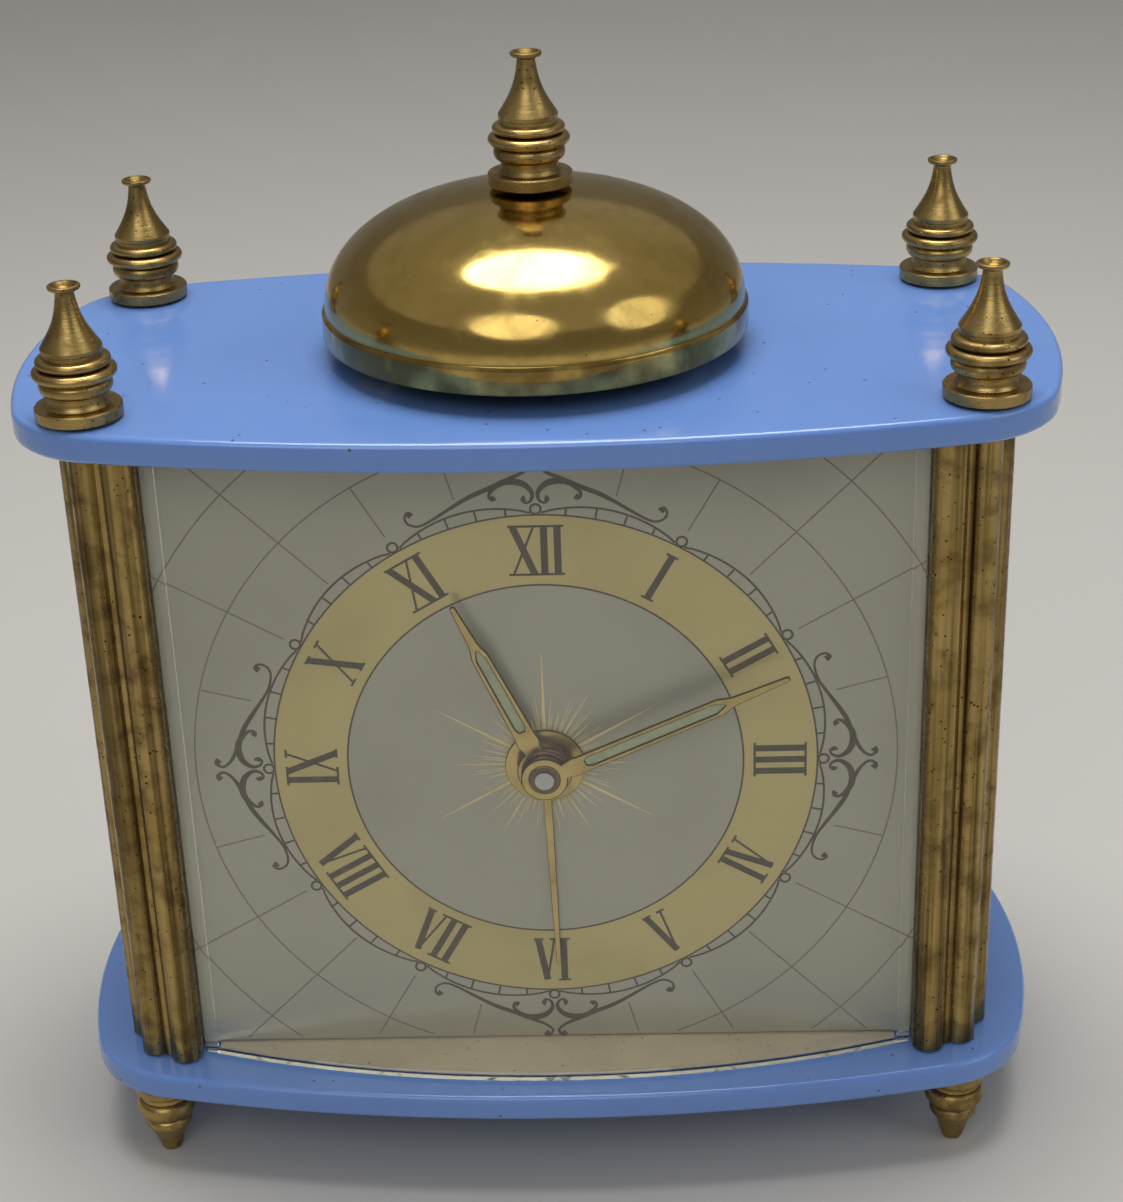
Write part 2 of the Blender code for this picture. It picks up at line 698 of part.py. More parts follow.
# Corner posts: three reeds with a bead between each pair, round the case's corner
def post_outline(sx, sy):
    first = (REED_SIDE_U, REED_SIDE_V, REED_RADIUS)
    middle = (REED_MIDDLE_U, REED_MIDDLE_V, REED_RADIUS)
    last = (REED_SIDE_V + REED_LAST_STEP, REED_SIDE_U - REED_LAST_STEP, REED_RADIUS)
    inside = (POST_INSIDE_U, POST_INSIDE_V)
    circles = [first]
    for near, far in ((first, middle), (middle, last)):
        halfway = Vector(((near[0] + far[0]) / 2, (near[1] + far[1]) / 2))
        outward = (halfway - Vector(inside)).normalized()
        bead = halfway + outward * BEAD_LIFT
        circles += [(bead.x, bead.y, BEAD_RADIUS), far]
    loop = []
    start = math.pi
    for i, here in enumerate(circles):
        if i + 1 < len(circles):
            crossing = meeting(here, circles[i + 1], inside)
            end = math.atan2(crossing[1] - here[1], crossing[0] - here[0])
        else:
            end = -math.pi / 2
        while end > start:
            end -= TURN
        steps = 8 if here[2] == REED_RADIUS else 3
        loop += arc(here[:2], here[2], start, end, steps)[0 if i == 0 else 1 :]
        if i + 1 < len(circles):
            after = circles[i + 1]
            start = math.atan2(crossing[1] - after[1], crossing[0] - after[0])
    side_u = CASE_HALF_X + SEAT - CORNER_X
    side_v = CASE_HALF_Y + SEAT - CORNER_Y
    dial_u = DIAL_HALF_X + SEAT - CORNER_X
    dial_v = DIAL_FRONT + SEAT - CORNER_Y
    loop.append((side_u, last[1] - REED_RADIUS))
    loop.append((side_u, side_v))
    loop.append((dial_u, side_v))
    loop.append((dial_u, dial_v))
    loop.append((first[0] - REED_RADIUS, dial_v))
    return [(sx * (CORNER_X + u), sy * (CORNER_Y + v)) for u, v in loop]


for corner, (sx, sy) in CORNERS.items():
    axis = (sx * CORNER_X, sy * CORNER_Y)
    flat(
        "post_" + corner,
        [post_outline(sx, sy), ring(ROD_HOLE_RADIUS, 8, axis)],
        BASE_TOP + SEAT,
        TOP_UNDER - SEAT,
        BRASS,
    )


# Turned finials, shares of their diameter and height from the top down
FINIAL_SHAPE = [
    (0.000, 0.980),
    (0.185, 1.000),
    (0.108, 0.920),
    (0.135, 0.780),
    (0.220, 0.645),
    (0.350, 0.530),
    (0.330, 0.480),
    (0.445, 0.430),
    (0.430, 0.385),
    (0.500, 0.345),
    (0.430, 0.295),
    (0.440, 0.250),
    (0.350, 0.190),
    (0.350, 0.105),
    (0.500, 0.090),
]


def finial(name, base, steps, grip):
    """A turned finial whose blind hole takes a rod that reaches in by the grip."""
    height = FINIAL_HEIGHT - SEAT
    profile = [(r * FINIAL_DIAMETER, base + SEAT + h * height) for r, h in FINIAL_SHAPE]
    profile.append((FINIAL_DIAMETER / 2, base + SEAT))
    profile.append((grip + RUNNING, base + SEAT))
    profile.append((grip + RUNNING, base + ROD_GRIP + SEAT))
    profile.append((0.0, base + ROD_GRIP + SEAT))
    return turned(name, profile, steps, BRASS)


# Turned feet, shares of their diameter and height from the top down
FOOT_SHAPE = [
    (0.440, 1.000),
    (0.500, 0.920),
    (0.430, 0.790),
    (0.485, 0.640),
    (0.390, 0.530),
    (0.395, 0.430),
    (0.310, 0.350),
    (0.170, 0.030),
    (0.150, 0.000),
    (0.000, 0.000),
]


def foot(name, steps):
    height = FOOT_HEIGHT - SEAT
    floor = FOOT_HEIGHT - ROD_GRIP - SEAT
    profile = [(0.0, floor), (ROD_HOLE_RADIUS, floor), (ROD_HOLE_RADIUS, height)]
    profile += [(r * FOOT_DIAMETER, h * height) for r, h in FOOT_SHAPE]
    return turned(name, profile, steps, BRASS)


for corner, (sx, sy) in CORNERS.items():
    placed = (sx * CORNER_X, sy * CORNER_Y, 0.0)
    finial("finial_" + corner, TOP_TOP, 10, ROD_RADIUS).location = placed
    foot("foot_" + corner, 10).location = placed
    rod = turned(
        "tie_rod_" + corner,
        [
            (0.0, TOP_TOP + ROD_GRIP),
            (ROD_RADIUS, TOP_TOP + ROD_GRIP),
            (ROD_RADIUS, FOOT_HEIGHT - ROD_GRIP),
            (0.0, FOOT_HEIGHT - ROD_GRIP),
        ],
        10,
        STEEL,
    )
    rod.location = placed


# Bell: a dome over a plain rim band, with the fine groove between them, hung from its middle
def bell_profile():
    neck = STUD_THREAD_RADIUS + RUNNING
    dome_radius = BELL_RADIUS - BELL_GROOVE
    outer = []
    for i in range(8):
        angle = math.radians(between(4, 84, i / 7))
        rise = abs(math.cos(angle)) ** (2 / BELL_FULLNESS)
        reach = abs(math.sin(angle)) ** (2 / BELL_FULLNESS)
        outer.append((dome_radius * reach, BELL_RIM + BELL_BAND + BELL_DOME * rise))
    outer[0] = (neck, BELL_CROWN)
    outer += [
        (dome_radius, BELL_RIM + BELL_BAND),
        (BELL_RADIUS, BELL_RIM + BELL_BAND - BELL_GROOVE),
        (BELL_RADIUS, BELL_RIM),
    ]
    inner = [(BELL_RADIUS - BELL_WALL, BELL_RIM), (dome_radius - BELL_WALL, BELL_RIM + BELL_BAND)]
    for i in range(5):
        angle = math.radians(between(72, 16, i / 4))
        rise = abs(math.cos(angle)) ** (2 / BELL_FULLNESS)
        reach = abs(math.sin(angle)) ** (2 / BELL_FULLNESS)
        inner.append(
            (
                (dome_radius - BELL_WALL) * reach,
                BELL_RIM + BELL_BAND + (BELL_DOME - BELL_WALL) * rise,
            )
        )
    inner.append((neck, BELL_CROWN - BELL_WALL))
    return outer + inner


bell = turned("bell", bell_profile(), 24, BELL_BRASS, closed=True)
bell_finial = finial("bell_finial", BELL_CROWN, 12, STUD_THREAD_RADIUS)

# The bell's standard: a shoulder on the plate, a shoulder under the bell, threads through both
bell_stud = turned(
    "bell_stud",
    [
        (0.0, BELL_CROWN + ROD_GRIP),
        (STUD_THREAD_RADIUS, BELL_CROWN + ROD_GRIP),
        (STUD_THREAD_RADIUS, BELL_CROWN - BELL_WALL - SEAT),
        (STUD_RADIUS, BELL_CROWN - BELL_WALL - SEAT),
        (STUD_RADIUS, TOP_TOP + SEAT),
        (STUD_THREAD_RADIUS, TOP_TOP + SEAT),
        (STUD_THREAD_RADIUS, TOP_UNDER + SEAT),
        (0.0, TOP_UNDER + SEAT),
    ],
    14,
    STEEL,
)


# Lens: an upright bowed sheet whose ends turn back to the dial
def lens_arc(offset, half_x, steps):
    """Points of the lens's curve from left to right, moved inwards by an offset."""
    centre = (0.0, LENS_RADIUS - LENS_FRONT)
    radius = LENS_RADIUS - offset
    swing = math.asin(half_x / radius)
    return arc(centre, radius, -TURN / 4 - swing, -TURN / 4 + swing, steps)


lens_foot = -(DIAL_FRONT + SEAT)
lens_loop = lens_arc(0.0, LENS_HALF_X, 16)
lens_loop += [(LENS_HALF_X, lens_foot), (LENS_HALF_X - LENS_WALL, lens_foot)]
lens_loop += reversed(lens_arc(LENS_WALL, LENS_HALF_X - LENS_WALL, 16))
lens_loop += [(-(LENS_HALF_X - LENS_WALL), lens_foot), (-LENS_HALF_X, lens_foot)]
lens = flat("lens", [lens_loop], BASE_TOP + SEAT, TOP_UNDER - SEAT, CLEAR)

# Case: an open-backed box whose floor and roof reach forward inside the lens
CASE_LOW = BASE_TOP + SEAT * 2 / 3
CASE_HIGH = TOP_UNDER - SEAT * 2 / 3
case_loop = []
for quarter, (sx, sy) in enumerate(((1, 1), (-1, 1), (-1, -1), (1, -1))):
    centre = (sx * (CASE_HALF_X - CASE_CORNER_RADIUS), sy * (CASE_HALF_Y - CASE_CORNER_RADIUS))
    case_loop += arc(centre, CASE_CORNER_RADIUS, quarter * TURN / 4, (quarter + 1) * TURN / 4, 2)
case = flat("case", [case_loop], CASE_LOW, CASE_HIGH, CREAM)
lip_half = LENS_HALF_X - LENS_WALL - SEAT
lip_loop = lens_arc(LENS_WALL + SEAT, lip_half, 12)
lip_loop += [(lip_half, CASE_WALL / 2 - CASE_HALF_Y), (-lip_half, CASE_WALL / 2 - CASE_HALF_Y)]
join(case, flat("floor_lip", [lip_loop], CASE_LOW + LIP_RELIEF, CASE_LOW + CASE_SILL))
join(case, flat("roof_lip", [lip_loop], CASE_HIGH - CASE_SILL, CASE_HIGH - LIP_RELIEF))
cavity = box(
    "case_cavity",
    (CASE_WALL - CASE_HALF_X, CASE_WALL - CASE_HALF_Y, CASE_LOW + CASE_WALL),
    (CASE_HALF_X - CASE_WALL, 2 * CASE_HALF_Y, CASE_HIGH - CASE_WALL),
)
cut(case, cavity)

BOSS_X = CORNER_X + REED_SIDE_U - REED_RADIUS - COVER_SCREW_HEAD - 2 * SEAT
BOSS_LOW = CASE_LOW + CASE_WALL + COVER_BOSS_INSET
BOSS_HIGH = CASE_HIGH - CASE_WALL - COVER_BOSS_INSET
BOSS_SPOTS = [(-BOSS_X, BOSS_LOW), (BOSS_X, BOSS_LOW), (-BOSS_X, BOSS_HIGH), (BOSS_X, BOSS_HIGH)]
wall_middle = CASE_WALL / 2 - CASE_HALF_Y


def along_y(obj):
    """Turns a helper drawn along Z so that it runs from the front to the back."""
    obj.rotation_euler = (math.pi / 2, 0.0, 0.0)
    return obj


def on_wall(name, radius, spots, back):
    """Round bosses that stand on the middle of the case's front wall and reach back."""
    return along_y(sheet(name, [ring(radius, 8, spot) for spot in spots], wall_middle, back))


join(case, on_wall("cover_bosses", COVER_BOSS_RADIUS, BOSS_SPOTS, COVER_FRONT - SEAT))

# Short pads on the front wall carry the movement
PAD_SPOTS = [(sx * PAD_X, DIAL_Z + sy * PAD_Y) for sx, sy in CORNERS.values()]
join(case, on_wall("movement_pads", PAD_RADIUS, PAD_SPOTS, MOVEMENT_FRONT - SEAT))

screw_holes = along_y(
    sheet(
        "cover_screw_holes",
        [ring(COVER_SCREW_RADIUS + RUNNING, 8, spot) for spot in BOSS_SPOTS],
        COVER_FRONT - COVER_SCREW_HOLE,
        CASE_HALF_Y,
    )
)
screw_holes.parent = case
cut(case, screw_holes)
for i, (x, z) in enumerate(BOSS_SPOTS):
    screw = spindle(
        "cover_screw_%d" % (i + 1),
        [
            (COVER_FRONT - COVER_SCREW_LENGTH, COVER_BACK + SEAT, COVER_SCREW_RADIUS),
            (COVER_BACK + SEAT, COVER_BACK + SEAT + COVER_SCREW_HEAD_THICK, COVER_SCREW_HEAD),
        ],
        8,
        STEEL,
    )
    set_in_clock(screw, (x, z - DIAL_Z))

window = along_y(
    sheet("case_window", [ring(CASE_WINDOW_RADIUS, 24, (0, DIAL_Z))], -CASE_HALF_Y - CASE_WALL, MOVEMENT_FRONT)
)
window.parent = case
cut(case, window)
cut(case, hammer_slot)

# Dial: a thin printed sheet with one hole for the hands' tubes
dial_low = CASE_LOW + CASE_SILL + SEAT - DIAL_Z
dial_high = CASE_HIGH - CASE_SILL - SEAT - DIAL_Z
dial = sheet(
    "dial",
    [
        [
            (-DIAL_HALF_X, dial_low),
            (DIAL_HALF_X, dial_low),
            (DIAL_HALF_X, dial_high),
            (-DIAL_HALF_X, dial_high),
        ],
        ring(ALARM_TUBE_RADIUS + SEAT, 20),
    ],
    -DIAL_FRONT,
    -DIAL_BACK,
    SILVER,
)
set_in_clock(dial, (0, 0))

# Where each arbor stands
CENTRE = (0.0, 0.0)
great_reach = GREAT_MODULE * (GREAT_TEETH + CENTRE_LEAVES) / 2
time_great_at = beyond(CENTRE, great_reach, TIME_GREAT_AT)
alarm_great_at = beyond(CENTRE, great_reach, ALARM_GREAT_AT)
third_at = beyond(CENTRE, CENTRE_MODULE * (CENTRE_TEETH + THIRD_LEAVES) / 2, THIRD_AT)
fourth_at = beyond(third_at, THIRD_MODULE * (THIRD_TEETH + FOURTH_LEAVES) / 2, FOURTH_AT)
escape_at = beyond(fourth_at, FOURTH_MODULE * (FOURTH_TEETH + ESCAPE_LEAVES) / 2, ESCAPE_AT)
pallet_at = beyond(escape_at, PALLET_REACH, PALLET_AT)
balance_at = (BALANCE_X, BALANCE_Y)
verge_at = beyond(alarm_great_at, GREAT_MODULE * (ALARM_GREAT_TEETH + VERGE_LEAVES) / 2, VERGE_AT)
hammer_at = (HAMMER_X, HAMMER_Y)
alarm_set_at = beyond(CENTRE, ALARM_MODULE * (ALARM_TEETH + ALARM_SET_TEETH) / 2, ALARM_SET_AT)
minute_at = beyond(CENTRE, MOTION_MODULE * (CANNON_TEETH + MINUTE_TEETH) / 2, MINUTE_AT)
stop_at = (STOP_X, STOP_Y)
hour_module = 2 * math.dist(CENTRE, minute_at) / (MINUTE_LEAVES + HOUR_TEETH)

# Movement plates
PLATE_CORNERS = [
    ((MOVEMENT_HALF_X - MOVEMENT_CORNER_RADIUS, MOVEMENT_TOP - MOVEMENT_CORNER_RADIUS), 0),
    ((MOVEMENT_CORNER_RADIUS - MOVEMENT_HALF_X, MOVEMENT_TOP - MOVEMENT_CORNER_RADIUS), 1),
    ((MOVEMENT_CORNER_RADIUS - MOVEMENT_HALF_X, MOVEMENT_CORNER_RADIUS - MOVEMENT_FOOT), 2),
    ((MOVEMENT_HALF_X - MOVEMENT_CORNER_RADIUS, MOVEMENT_CORNER_RADIUS - MOVEMENT_FOOT), 3),
]
movement_loop = []
for centre, quarter in PLATE_CORNERS:
    movement_loop += arc(centre, MOVEMENT_CORNER_RADIUS, quarter * TURN / 4, (quarter + 1) * TURN / 4, 3)

PILLARS = [
    (-PILLAR_X, -PILLAR_FOOT),
    (PILLAR_X, -PILLAR_FOOT),
    (-PILLAR_X, PILLAR_TOP),
    (PILLAR_X, PILLAR_TOP),
]
pivot_hole = PIVOT_RADIUS + RUNNING
pivots = [third_at, fourth_at, escape_at, pallet_at, balance_at, verge_at, hammer_at]
front_holes = [ring(pivot_hole, 6, spot) for spot in pivots]
front_holes += [ring(KEY_ARBOR_RADIUS + RUNNING, 10, spot) for spot in (time_great_at, alarm_great_at)]
front_holes += [ring(ARBOR_RADIUS + RUNNING, 8, spot) for spot in (alarm_set_at,)]
front_holes += [ring(MINUTE_ARBOR_RADIUS + RUNNING, 10)]
back_holes = list(front_holes)
front_holes += [ring(pivot_hole, 6, minute_at)]
back_holes += [ring(STOP_RADIUS + RUNNING, 8, stop_at)]
back_holes += [ring(TENON_RADIUS + RUNNING, 8, spot) for spot in PILLARS]

front_movement_plate = sheet(
    "front_movement_plate",
    [movement_loop, *front_holes],
    MOVEMENT_FRONT,
    MOVEMENT_INNER_FRONT,
    MOVEMENT_BRASS,
)
for i, spot in enumerate(PILLARS):
    pillar = spindle(
        "pillar_%d" % (i + 1),
        [
            (MOVEMENT_INNER_FRONT - MOVEMENT_PLATE / 2, MOVEMENT_INNER_BACK - SEAT, PILLAR_RADIUS),
            (MOVEMENT_INNER_BACK - SEAT, MOVEMENT_BACK + TENON_REACH, TENON_RADIUS),
        ],
        8,
    )
    pillar.location = (spot[0], spot[1], 0.0)
    join(front_movement_plate, pillar)
set_in_clock(front_movement_plate, (0, 0))

back_movement_plate = sheet(
    "back_movement_plate",
    [movement_loop, *back_holes],
    MOVEMENT_INNER_BACK,
    MOVEMENT_BACK,
    MOVEMENT_BRASS,
)
hairspring_peg = spindle(
    "hairspring_peg",
    [(HAIRSPRING_DEPTH - SEAT, MOVEMENT_INNER_BACK + MOVEMENT_PLATE / 2, PIVOT_RADIUS)],
    8,
)
hairspring_peg.location = (balance_at[0] + HAIRSPRING_OUTER + HAIRSPRING_PEG_OUT, balance_at[1], 0.0)
join(back_movement_plate, hairspring_peg)
set_in_clock(back_movement_plate, (0, 0))


def direction(start, end):
    return math.atan2(end[1] - start[1], end[0] - start[0])


def pivoted(name, at, sections, surface, steps=6):
    """An arbor whose fine pivots turn in both movement plates."""
    first = sections[0][0]
    last = sections[-1][1]
    whole = [(MOVEMENT_FRONT + SEAT, first, PIVOT_RADIUS), *sections]
    whole.append((last, MOVEMENT_BACK - SEAT, PIVOT_RADIUS))
    return set_in_clock(spindle(name, whole, steps, surface), at)


def plain_arbor(name, at, surface, radius=ARBOR_RADIUS):
    span = (MOVEMENT_INNER_FRONT + ARBOR_SHOULDER, MOVEMENT_INNER_BACK - ARBOR_SHOULDER, radius)
    return pivoted(name, at, [span], surface)


def add_wheel(obj, name, loops, depth, thick=WHEEL_THICK):
    return join(obj, sheet(name, loops, depth, depth + thick))


def add_pinion(obj, name, teeth, module, phase, depth, thick):
    """A pinion a little wider than the wheel it meets, which lies between the two depths."""
    low = depth - PINION_OVERHANG
    high = depth + thick + PINION_OVERHANG
    return join(obj, sheet(name, [gear(teeth, module, phase)], low, high))


# Going train
towards = direction(CENTRE, third_at)
centre_wheel = sleeve(
    "centre_wheel",
    MINUTE_ARBOR_RADIUS + RUNNING,
    [(MOVEMENT_INNER_FRONT + SEAT, MOVEMENT_INNER_BACK - CENTRE_TUBE_SHORT, CENTRE_TUBE_RADIUS)],
    10,
    MOVEMENT_BRASS,
)
centre_rim = CENTRE_TEETH * CENTRE_MODULE / 2
add_wheel(
    centre_wheel,
    "centre_wheel_disc",
    [
        gear(CENTRE_TEETH, CENTRE_MODULE, towards),
        ring(CENTRE_HUB_RADIUS, 8),
        *windows(4, CENTRE_WINDOW_INNER, centre_rim - CENTRE_RIM, CENTRE_SPOKE, 0.3),
    ],
    CENTRE_DEPTH,
)
towards = direction(time_great_at, CENTRE)
centre_pinion = sheet(
    "centre_pinion",
    [
        gear(CENTRE_LEAVES, GREAT_MODULE, towards + math.pi + TURN / 2 / CENTRE_LEAVES),
        ring(CENTRE_HUB_RADIUS, 8),
    ],
    GREAT_DEPTH - PINION_OVERHANG,
    GREAT_DEPTH + GREAT_THICK + PINION_OVERHANG,
)
join(centre_wheel, centre_pinion)
set_in_clock(centre_wheel, CENTRE)

great_bore = KEY_ARBOR_RADIUS + RUNNING


def great_wheel(name, at, teeth, phase):
    """A great wheel that rides loose on its winding arbor."""
    wheel = sleeve(
        name,
        great_bore,
        [(GREAT_DEPTH - GREAT_HUB_FRONT, GREAT_DEPTH + GREAT_THICK + GREAT_HUB_BACK, GREAT_HUB_RADIUS)],
        10,
        MOVEMENT_BRASS,
    )
    rim = teeth * GREAT_MODULE / 2
    loops = [
        gear(teeth, GREAT_MODULE, phase),
        ring(GREAT_DISC_BORE, 10),
        *windows(3, GREAT_WINDOW_INNER, rim - GREAT_RIM, GREAT_SPOKE, phase),
    ]
    add_wheel(wheel, name + "_disc", loops, GREAT_DEPTH, GREAT_THICK)
    return set_in_clock(wheel, at)


time_great_wheel = great_wheel("time_great_wheel", time_great_at, GREAT_TEETH, towards)

towards = direction(CENTRE, third_at)
third_wheel = plain_arbor("third_wheel", third_at, MOVEMENT_BRASS)
phase = towards + math.pi + TURN / 2 / THIRD_LEAVES
add_pinion(third_wheel, "third_pinion", THIRD_LEAVES, CENTRE_MODULE, phase, CENTRE_DEPTH, WHEEL_THICK)
towards = direction(third_at, fourth_at)
third_rim = THIRD_TEETH * THIRD_MODULE / 2
third_loops = [
    gear(THIRD_TEETH, THIRD_MODULE, towards),
    *windows(3, THIRD_WINDOW_INNER, third_rim - THIRD_RIM, THIRD_SPOKE, 0.2),
]
add_wheel(third_wheel, "third_wheel_disc", third_loops, THIRD_DEPTH)

fourth_wheel = plain_arbor("fourth_wheel", fourth_at, MOVEMENT_BRASS)
phase = towards + math.pi + TURN / 2 / FOURTH_LEAVES
add_pinion(fourth_wheel, "fourth_pinion", FOURTH_LEAVES, THIRD_MODULE, phase, THIRD_DEPTH, WHEEL_THICK)
towards = direction(fourth_at, escape_at)
fourth_rim = FOURTH_TEETH * FOURTH_MODULE / 2
fourth_loops = [
    gear(FOURTH_TEETH, FOURTH_MODULE, towards),
    *windows(3, FOURTH_WINDOW_INNER, fourth_rim - FOURTH_RIM, FOURTH_SPOKE, 0.6),
]
add_wheel(fourth_wheel, "fourth_wheel_disc", fourth_loops, FOURTH_DEPTH)

escape_wheel = plain_arbor("escape_wheel", escape_at, MOVEMENT_BRASS, FINE_ARBOR_RADIUS)
phase = towards + math.pi + TURN / 2 / ESCAPE_LEAVES
add_pinion(escape_wheel, "escape_pinion", ESCAPE_LEAVES, FOURTH_MODULE, phase, FOURTH_DEPTH, WHEEL_THICK)
towards = direction(escape_at, pallet_at)
escape_loops = [
    ratchet(ESCAPE_TEETH, ESCAPE_RADIUS, ESCAPE_RADIUS - ESCAPE_TOOTH, towards),
    *windows(3, ESCAPE_WINDOW_INNER, ESCAPE_RADIUS - ESCAPE_RIM, ESCAPE_SPOKE, 0.4),
]
add_wheel(escape_wheel, "escape_wheel_disc", escape_loops, ESCAPE_DEPTH)

# Pallet lever: two pins beside the escape wheel, and a forked tail beside the balance's pin
pallet_lever = plain_arbor("pallet_lever", pallet_at, STEEL, FINE_ARBOR_RADIUS)
pin_angle = direction(pallet_at, escape_at)
fork_angle = direction(pallet_at, balance_at)
fork_end = math.dist(pallet_at, balance_at) - IMPULSE_AT - IMPULSE_PIN_RADIUS - FORK_GAP


def rotated(points, angle):
    cos = math.cos(angle)
    sin = math.sin(angle)
    return [(x * cos - y * sin, x * sin + y * cos) for x, y in points]


# One side of the tail, in shares of the lever's half width: from its root, then from the fork's end
TAIL_ROOT_SHAPE = [(-0.6, 1.0), (3.0, 0.7)]
TAIL_FORK_SHAPE = [(-1.6, 0.6), (-0.6, 1.2), (0.0, 1.1)]
tail_side = [(x * LEVER_HALF, y * LEVER_HALF) for x, y in TAIL_ROOT_SHAPE]
tail_side += [(fork_end + x * LEVER_HALF, y * LEVER_HALF) for x, y in TAIL_FORK_SHAPE]
tail = [(x, -y) for x, y in tail_side]
tail += [(fork_end - FORK_NOTCH, 0.0)]
tail += tail_side[::-1]
join(pallet_lever, sheet("lever_tail", [rotated(tail, fork_angle)], LEVER_DEPTH, LEVER_DEPTH + LEVER_THICK))
# The pallets' bar, in shares of the lever's half width
ANCHOR_SHAPE = [(-1.0, -0.9), (0.4, -3.0), (1.6, -2.9), (0.9, 0.0), (1.6, 2.9), (0.4, 3.0), (-1.0, 0.9)]
anchor = [(x * LEVER_HALF, y * LEVER_HALF) for x, y in ANCHOR_SHAPE]
anchor_low = LEVER_DEPTH - LEVER_ANCHOR_DROP
join(pallet_lever, sheet("lever_anchor", [rotated(anchor, pin_angle)], anchor_low, anchor_low + LEVER_THICK))
for i, side in enumerate((-1, 1)):
    spot = rotated([(LEVER_HALF, side * PALLET_PIN_REACH)], pin_angle)[0]
    pin = spindle(
        "pallet_pin_%d" % (i + 1),
        [(ESCAPE_DEPTH - PALLET_PIN_OVERHANG, LEVER_DEPTH + LEVER_THICK / 2, PALLET_PIN_RADIUS)],
        6,
    )
    pin.location = (spot[0], spot[1], 0.0)
    join(pallet_lever, pin)

# Balance wheel with its staff, two arms and impulse pin
balance_wheel = plain_arbor("balance_wheel", balance_at, MOVEMENT_BRASS, FINE_ARBOR_RADIUS)
rest_angle = direction(balance_at, pallet_at)
balance_loops = [
    ring(BALANCE_RADIUS, 24),
    *windows(2, BALANCE_WINDOW_INNER, BALANCE_RADIUS - BALANCE_RIM, BALANCE_SPOKE, rest_angle + 0.6),
]
add_wheel(balance_wheel, "balance_disc", balance_loops, BALANCE_DEPTH, BALANCE_THICK)
impulse_spot = polar(IMPULSE_AT, rest_angle)
impulse_pin = spindle(
    "impulse_pin",
    [(LEVER_DEPTH - IMPULSE_PIN_OVERHANG, BALANCE_DEPTH + BALANCE_THICK / 2, IMPULSE_PIN_RADIUS)],
    6,
)
impulse_pin.location = (impulse_spot[0], impulse_spot[1], 0.0)
join(balance_wheel, impulse_pin)


# Springs: flat strips wound in spirals
def spiral(inner, outer, turns, start, strip, tail_to, tail_turn, steps):
    """Outline of a wound strip, whose last part swings out to the tail's radius."""
    middle = []
    for i in range(steps * turns + 1):
        share = i / (steps * turns)
        middle.append((between(inner, outer, share), start + TURN * turns * share))
    tail_steps = max(2, round(steps * tail_turn))
    for i in range(1, tail_steps + 1):
        share = i / tail_steps
        grown = between(outer, tail_to, share**2)
        middle.append((grown, start + TURN * (turns + tail_turn * share)))
    outside = [polar(r + strip / 2, a) for r, a in middle]
    inside = [polar(r - strip / 2, a) for r, a in middle]
    gap = (outer - inner) / turns - strip
    return outside + inside[::-1], gap


def mainspring(name, at, outer, pillar, side):
    reach = math.dist(at, pillar) - PILLAR_RADIUS - SEAT - SPRING_LEAF / 2
    end = direction(at, pillar)
    start = end - TURN * (SPRING_TURNS + SPRING_TAIL)
    loop, gap = spiral(SPRING_INNER, outer, SPRING_TURNS, start, SPRING_LEAF, reach, SPRING_TAIL, 12)
    if side < 0:
        mirror = direction(at, pillar)
        loop = [polar(math.hypot(x, y), 2 * mirror - math.atan2(y, x)) for x, y in loop]
    print("%s: least gap between turns %.2f mm" % (name, gap / MM))
    spring = sheet(name, [loop], SPRING_DEPTH, SPRING_DEPTH + SPRING_WIDTH, SPRING_STEEL)
    return set_in_clock(spring, at)


time_mainspring = mainspring("time_mainspring", time_great_at, SPRING_OUTER, PILLARS[0], 1)
alarm_mainspring = mainspring("alarm_mainspring", alarm_great_at, ALARM_SPRING_OUTER, PILLARS[1], -1)

hairspring_loop, hairspring_gap = spiral(
    HAIRSPRING_INNER,
    HAIRSPRING_OUTER,
    HAIRSPRING_TURNS,
    0.0,
    HAIRSPRING_LEAF,
    HAIRSPRING_OUTER,
    HAIRSPRING_TAIL,
    10,
)
print("hairspring: least gap between turns %.2f mm" % (hairspring_gap / MM))
hairspring = sheet(
    "hairspring",
    [hairspring_loop],
    HAIRSPRING_DEPTH,
    HAIRSPRING_DEPTH + HAIRSPRING_WIDTH,
    SPRING_STEEL,
)
set_in_clock(hairspring, balance_at)

# Motion work behind the dial
towards = direction(CENTRE, minute_at)
minute_arbor = spindle(
    "minute_arbor",
    [
        (-ARBOR_TIP, MINUTE_WHEEL_DEPTH - CANNON_COLLAR_FRONT, MINUTE_ARBOR_RADIUS),
        (
            MINUTE_WHEEL_DEPTH - CANNON_COLLAR_FRONT,
            MINUTE_WHEEL_DEPTH - CANNON_COLLAR_BACK,
            CANNON_COLLAR_RADIUS,
        ),
        (MINUTE_WHEEL_DEPTH - CANNON_COLLAR_BACK, COVER_BACK + MINUTE_ARBOR_REACH, MINUTE_ARBOR_RADIUS),
    ],
    12,
    STEEL,
)
phase = towards + TURN / 2 / CANNON_TEETH
add_pinion(
    minute_arbor, "cannon_pinion", CANNON_TEETH, MOTION_MODULE, phase, MINUTE_WHEEL_DEPTH, WHEEL_THICK
)
set_in_clock(minute_arbor, CENTRE)

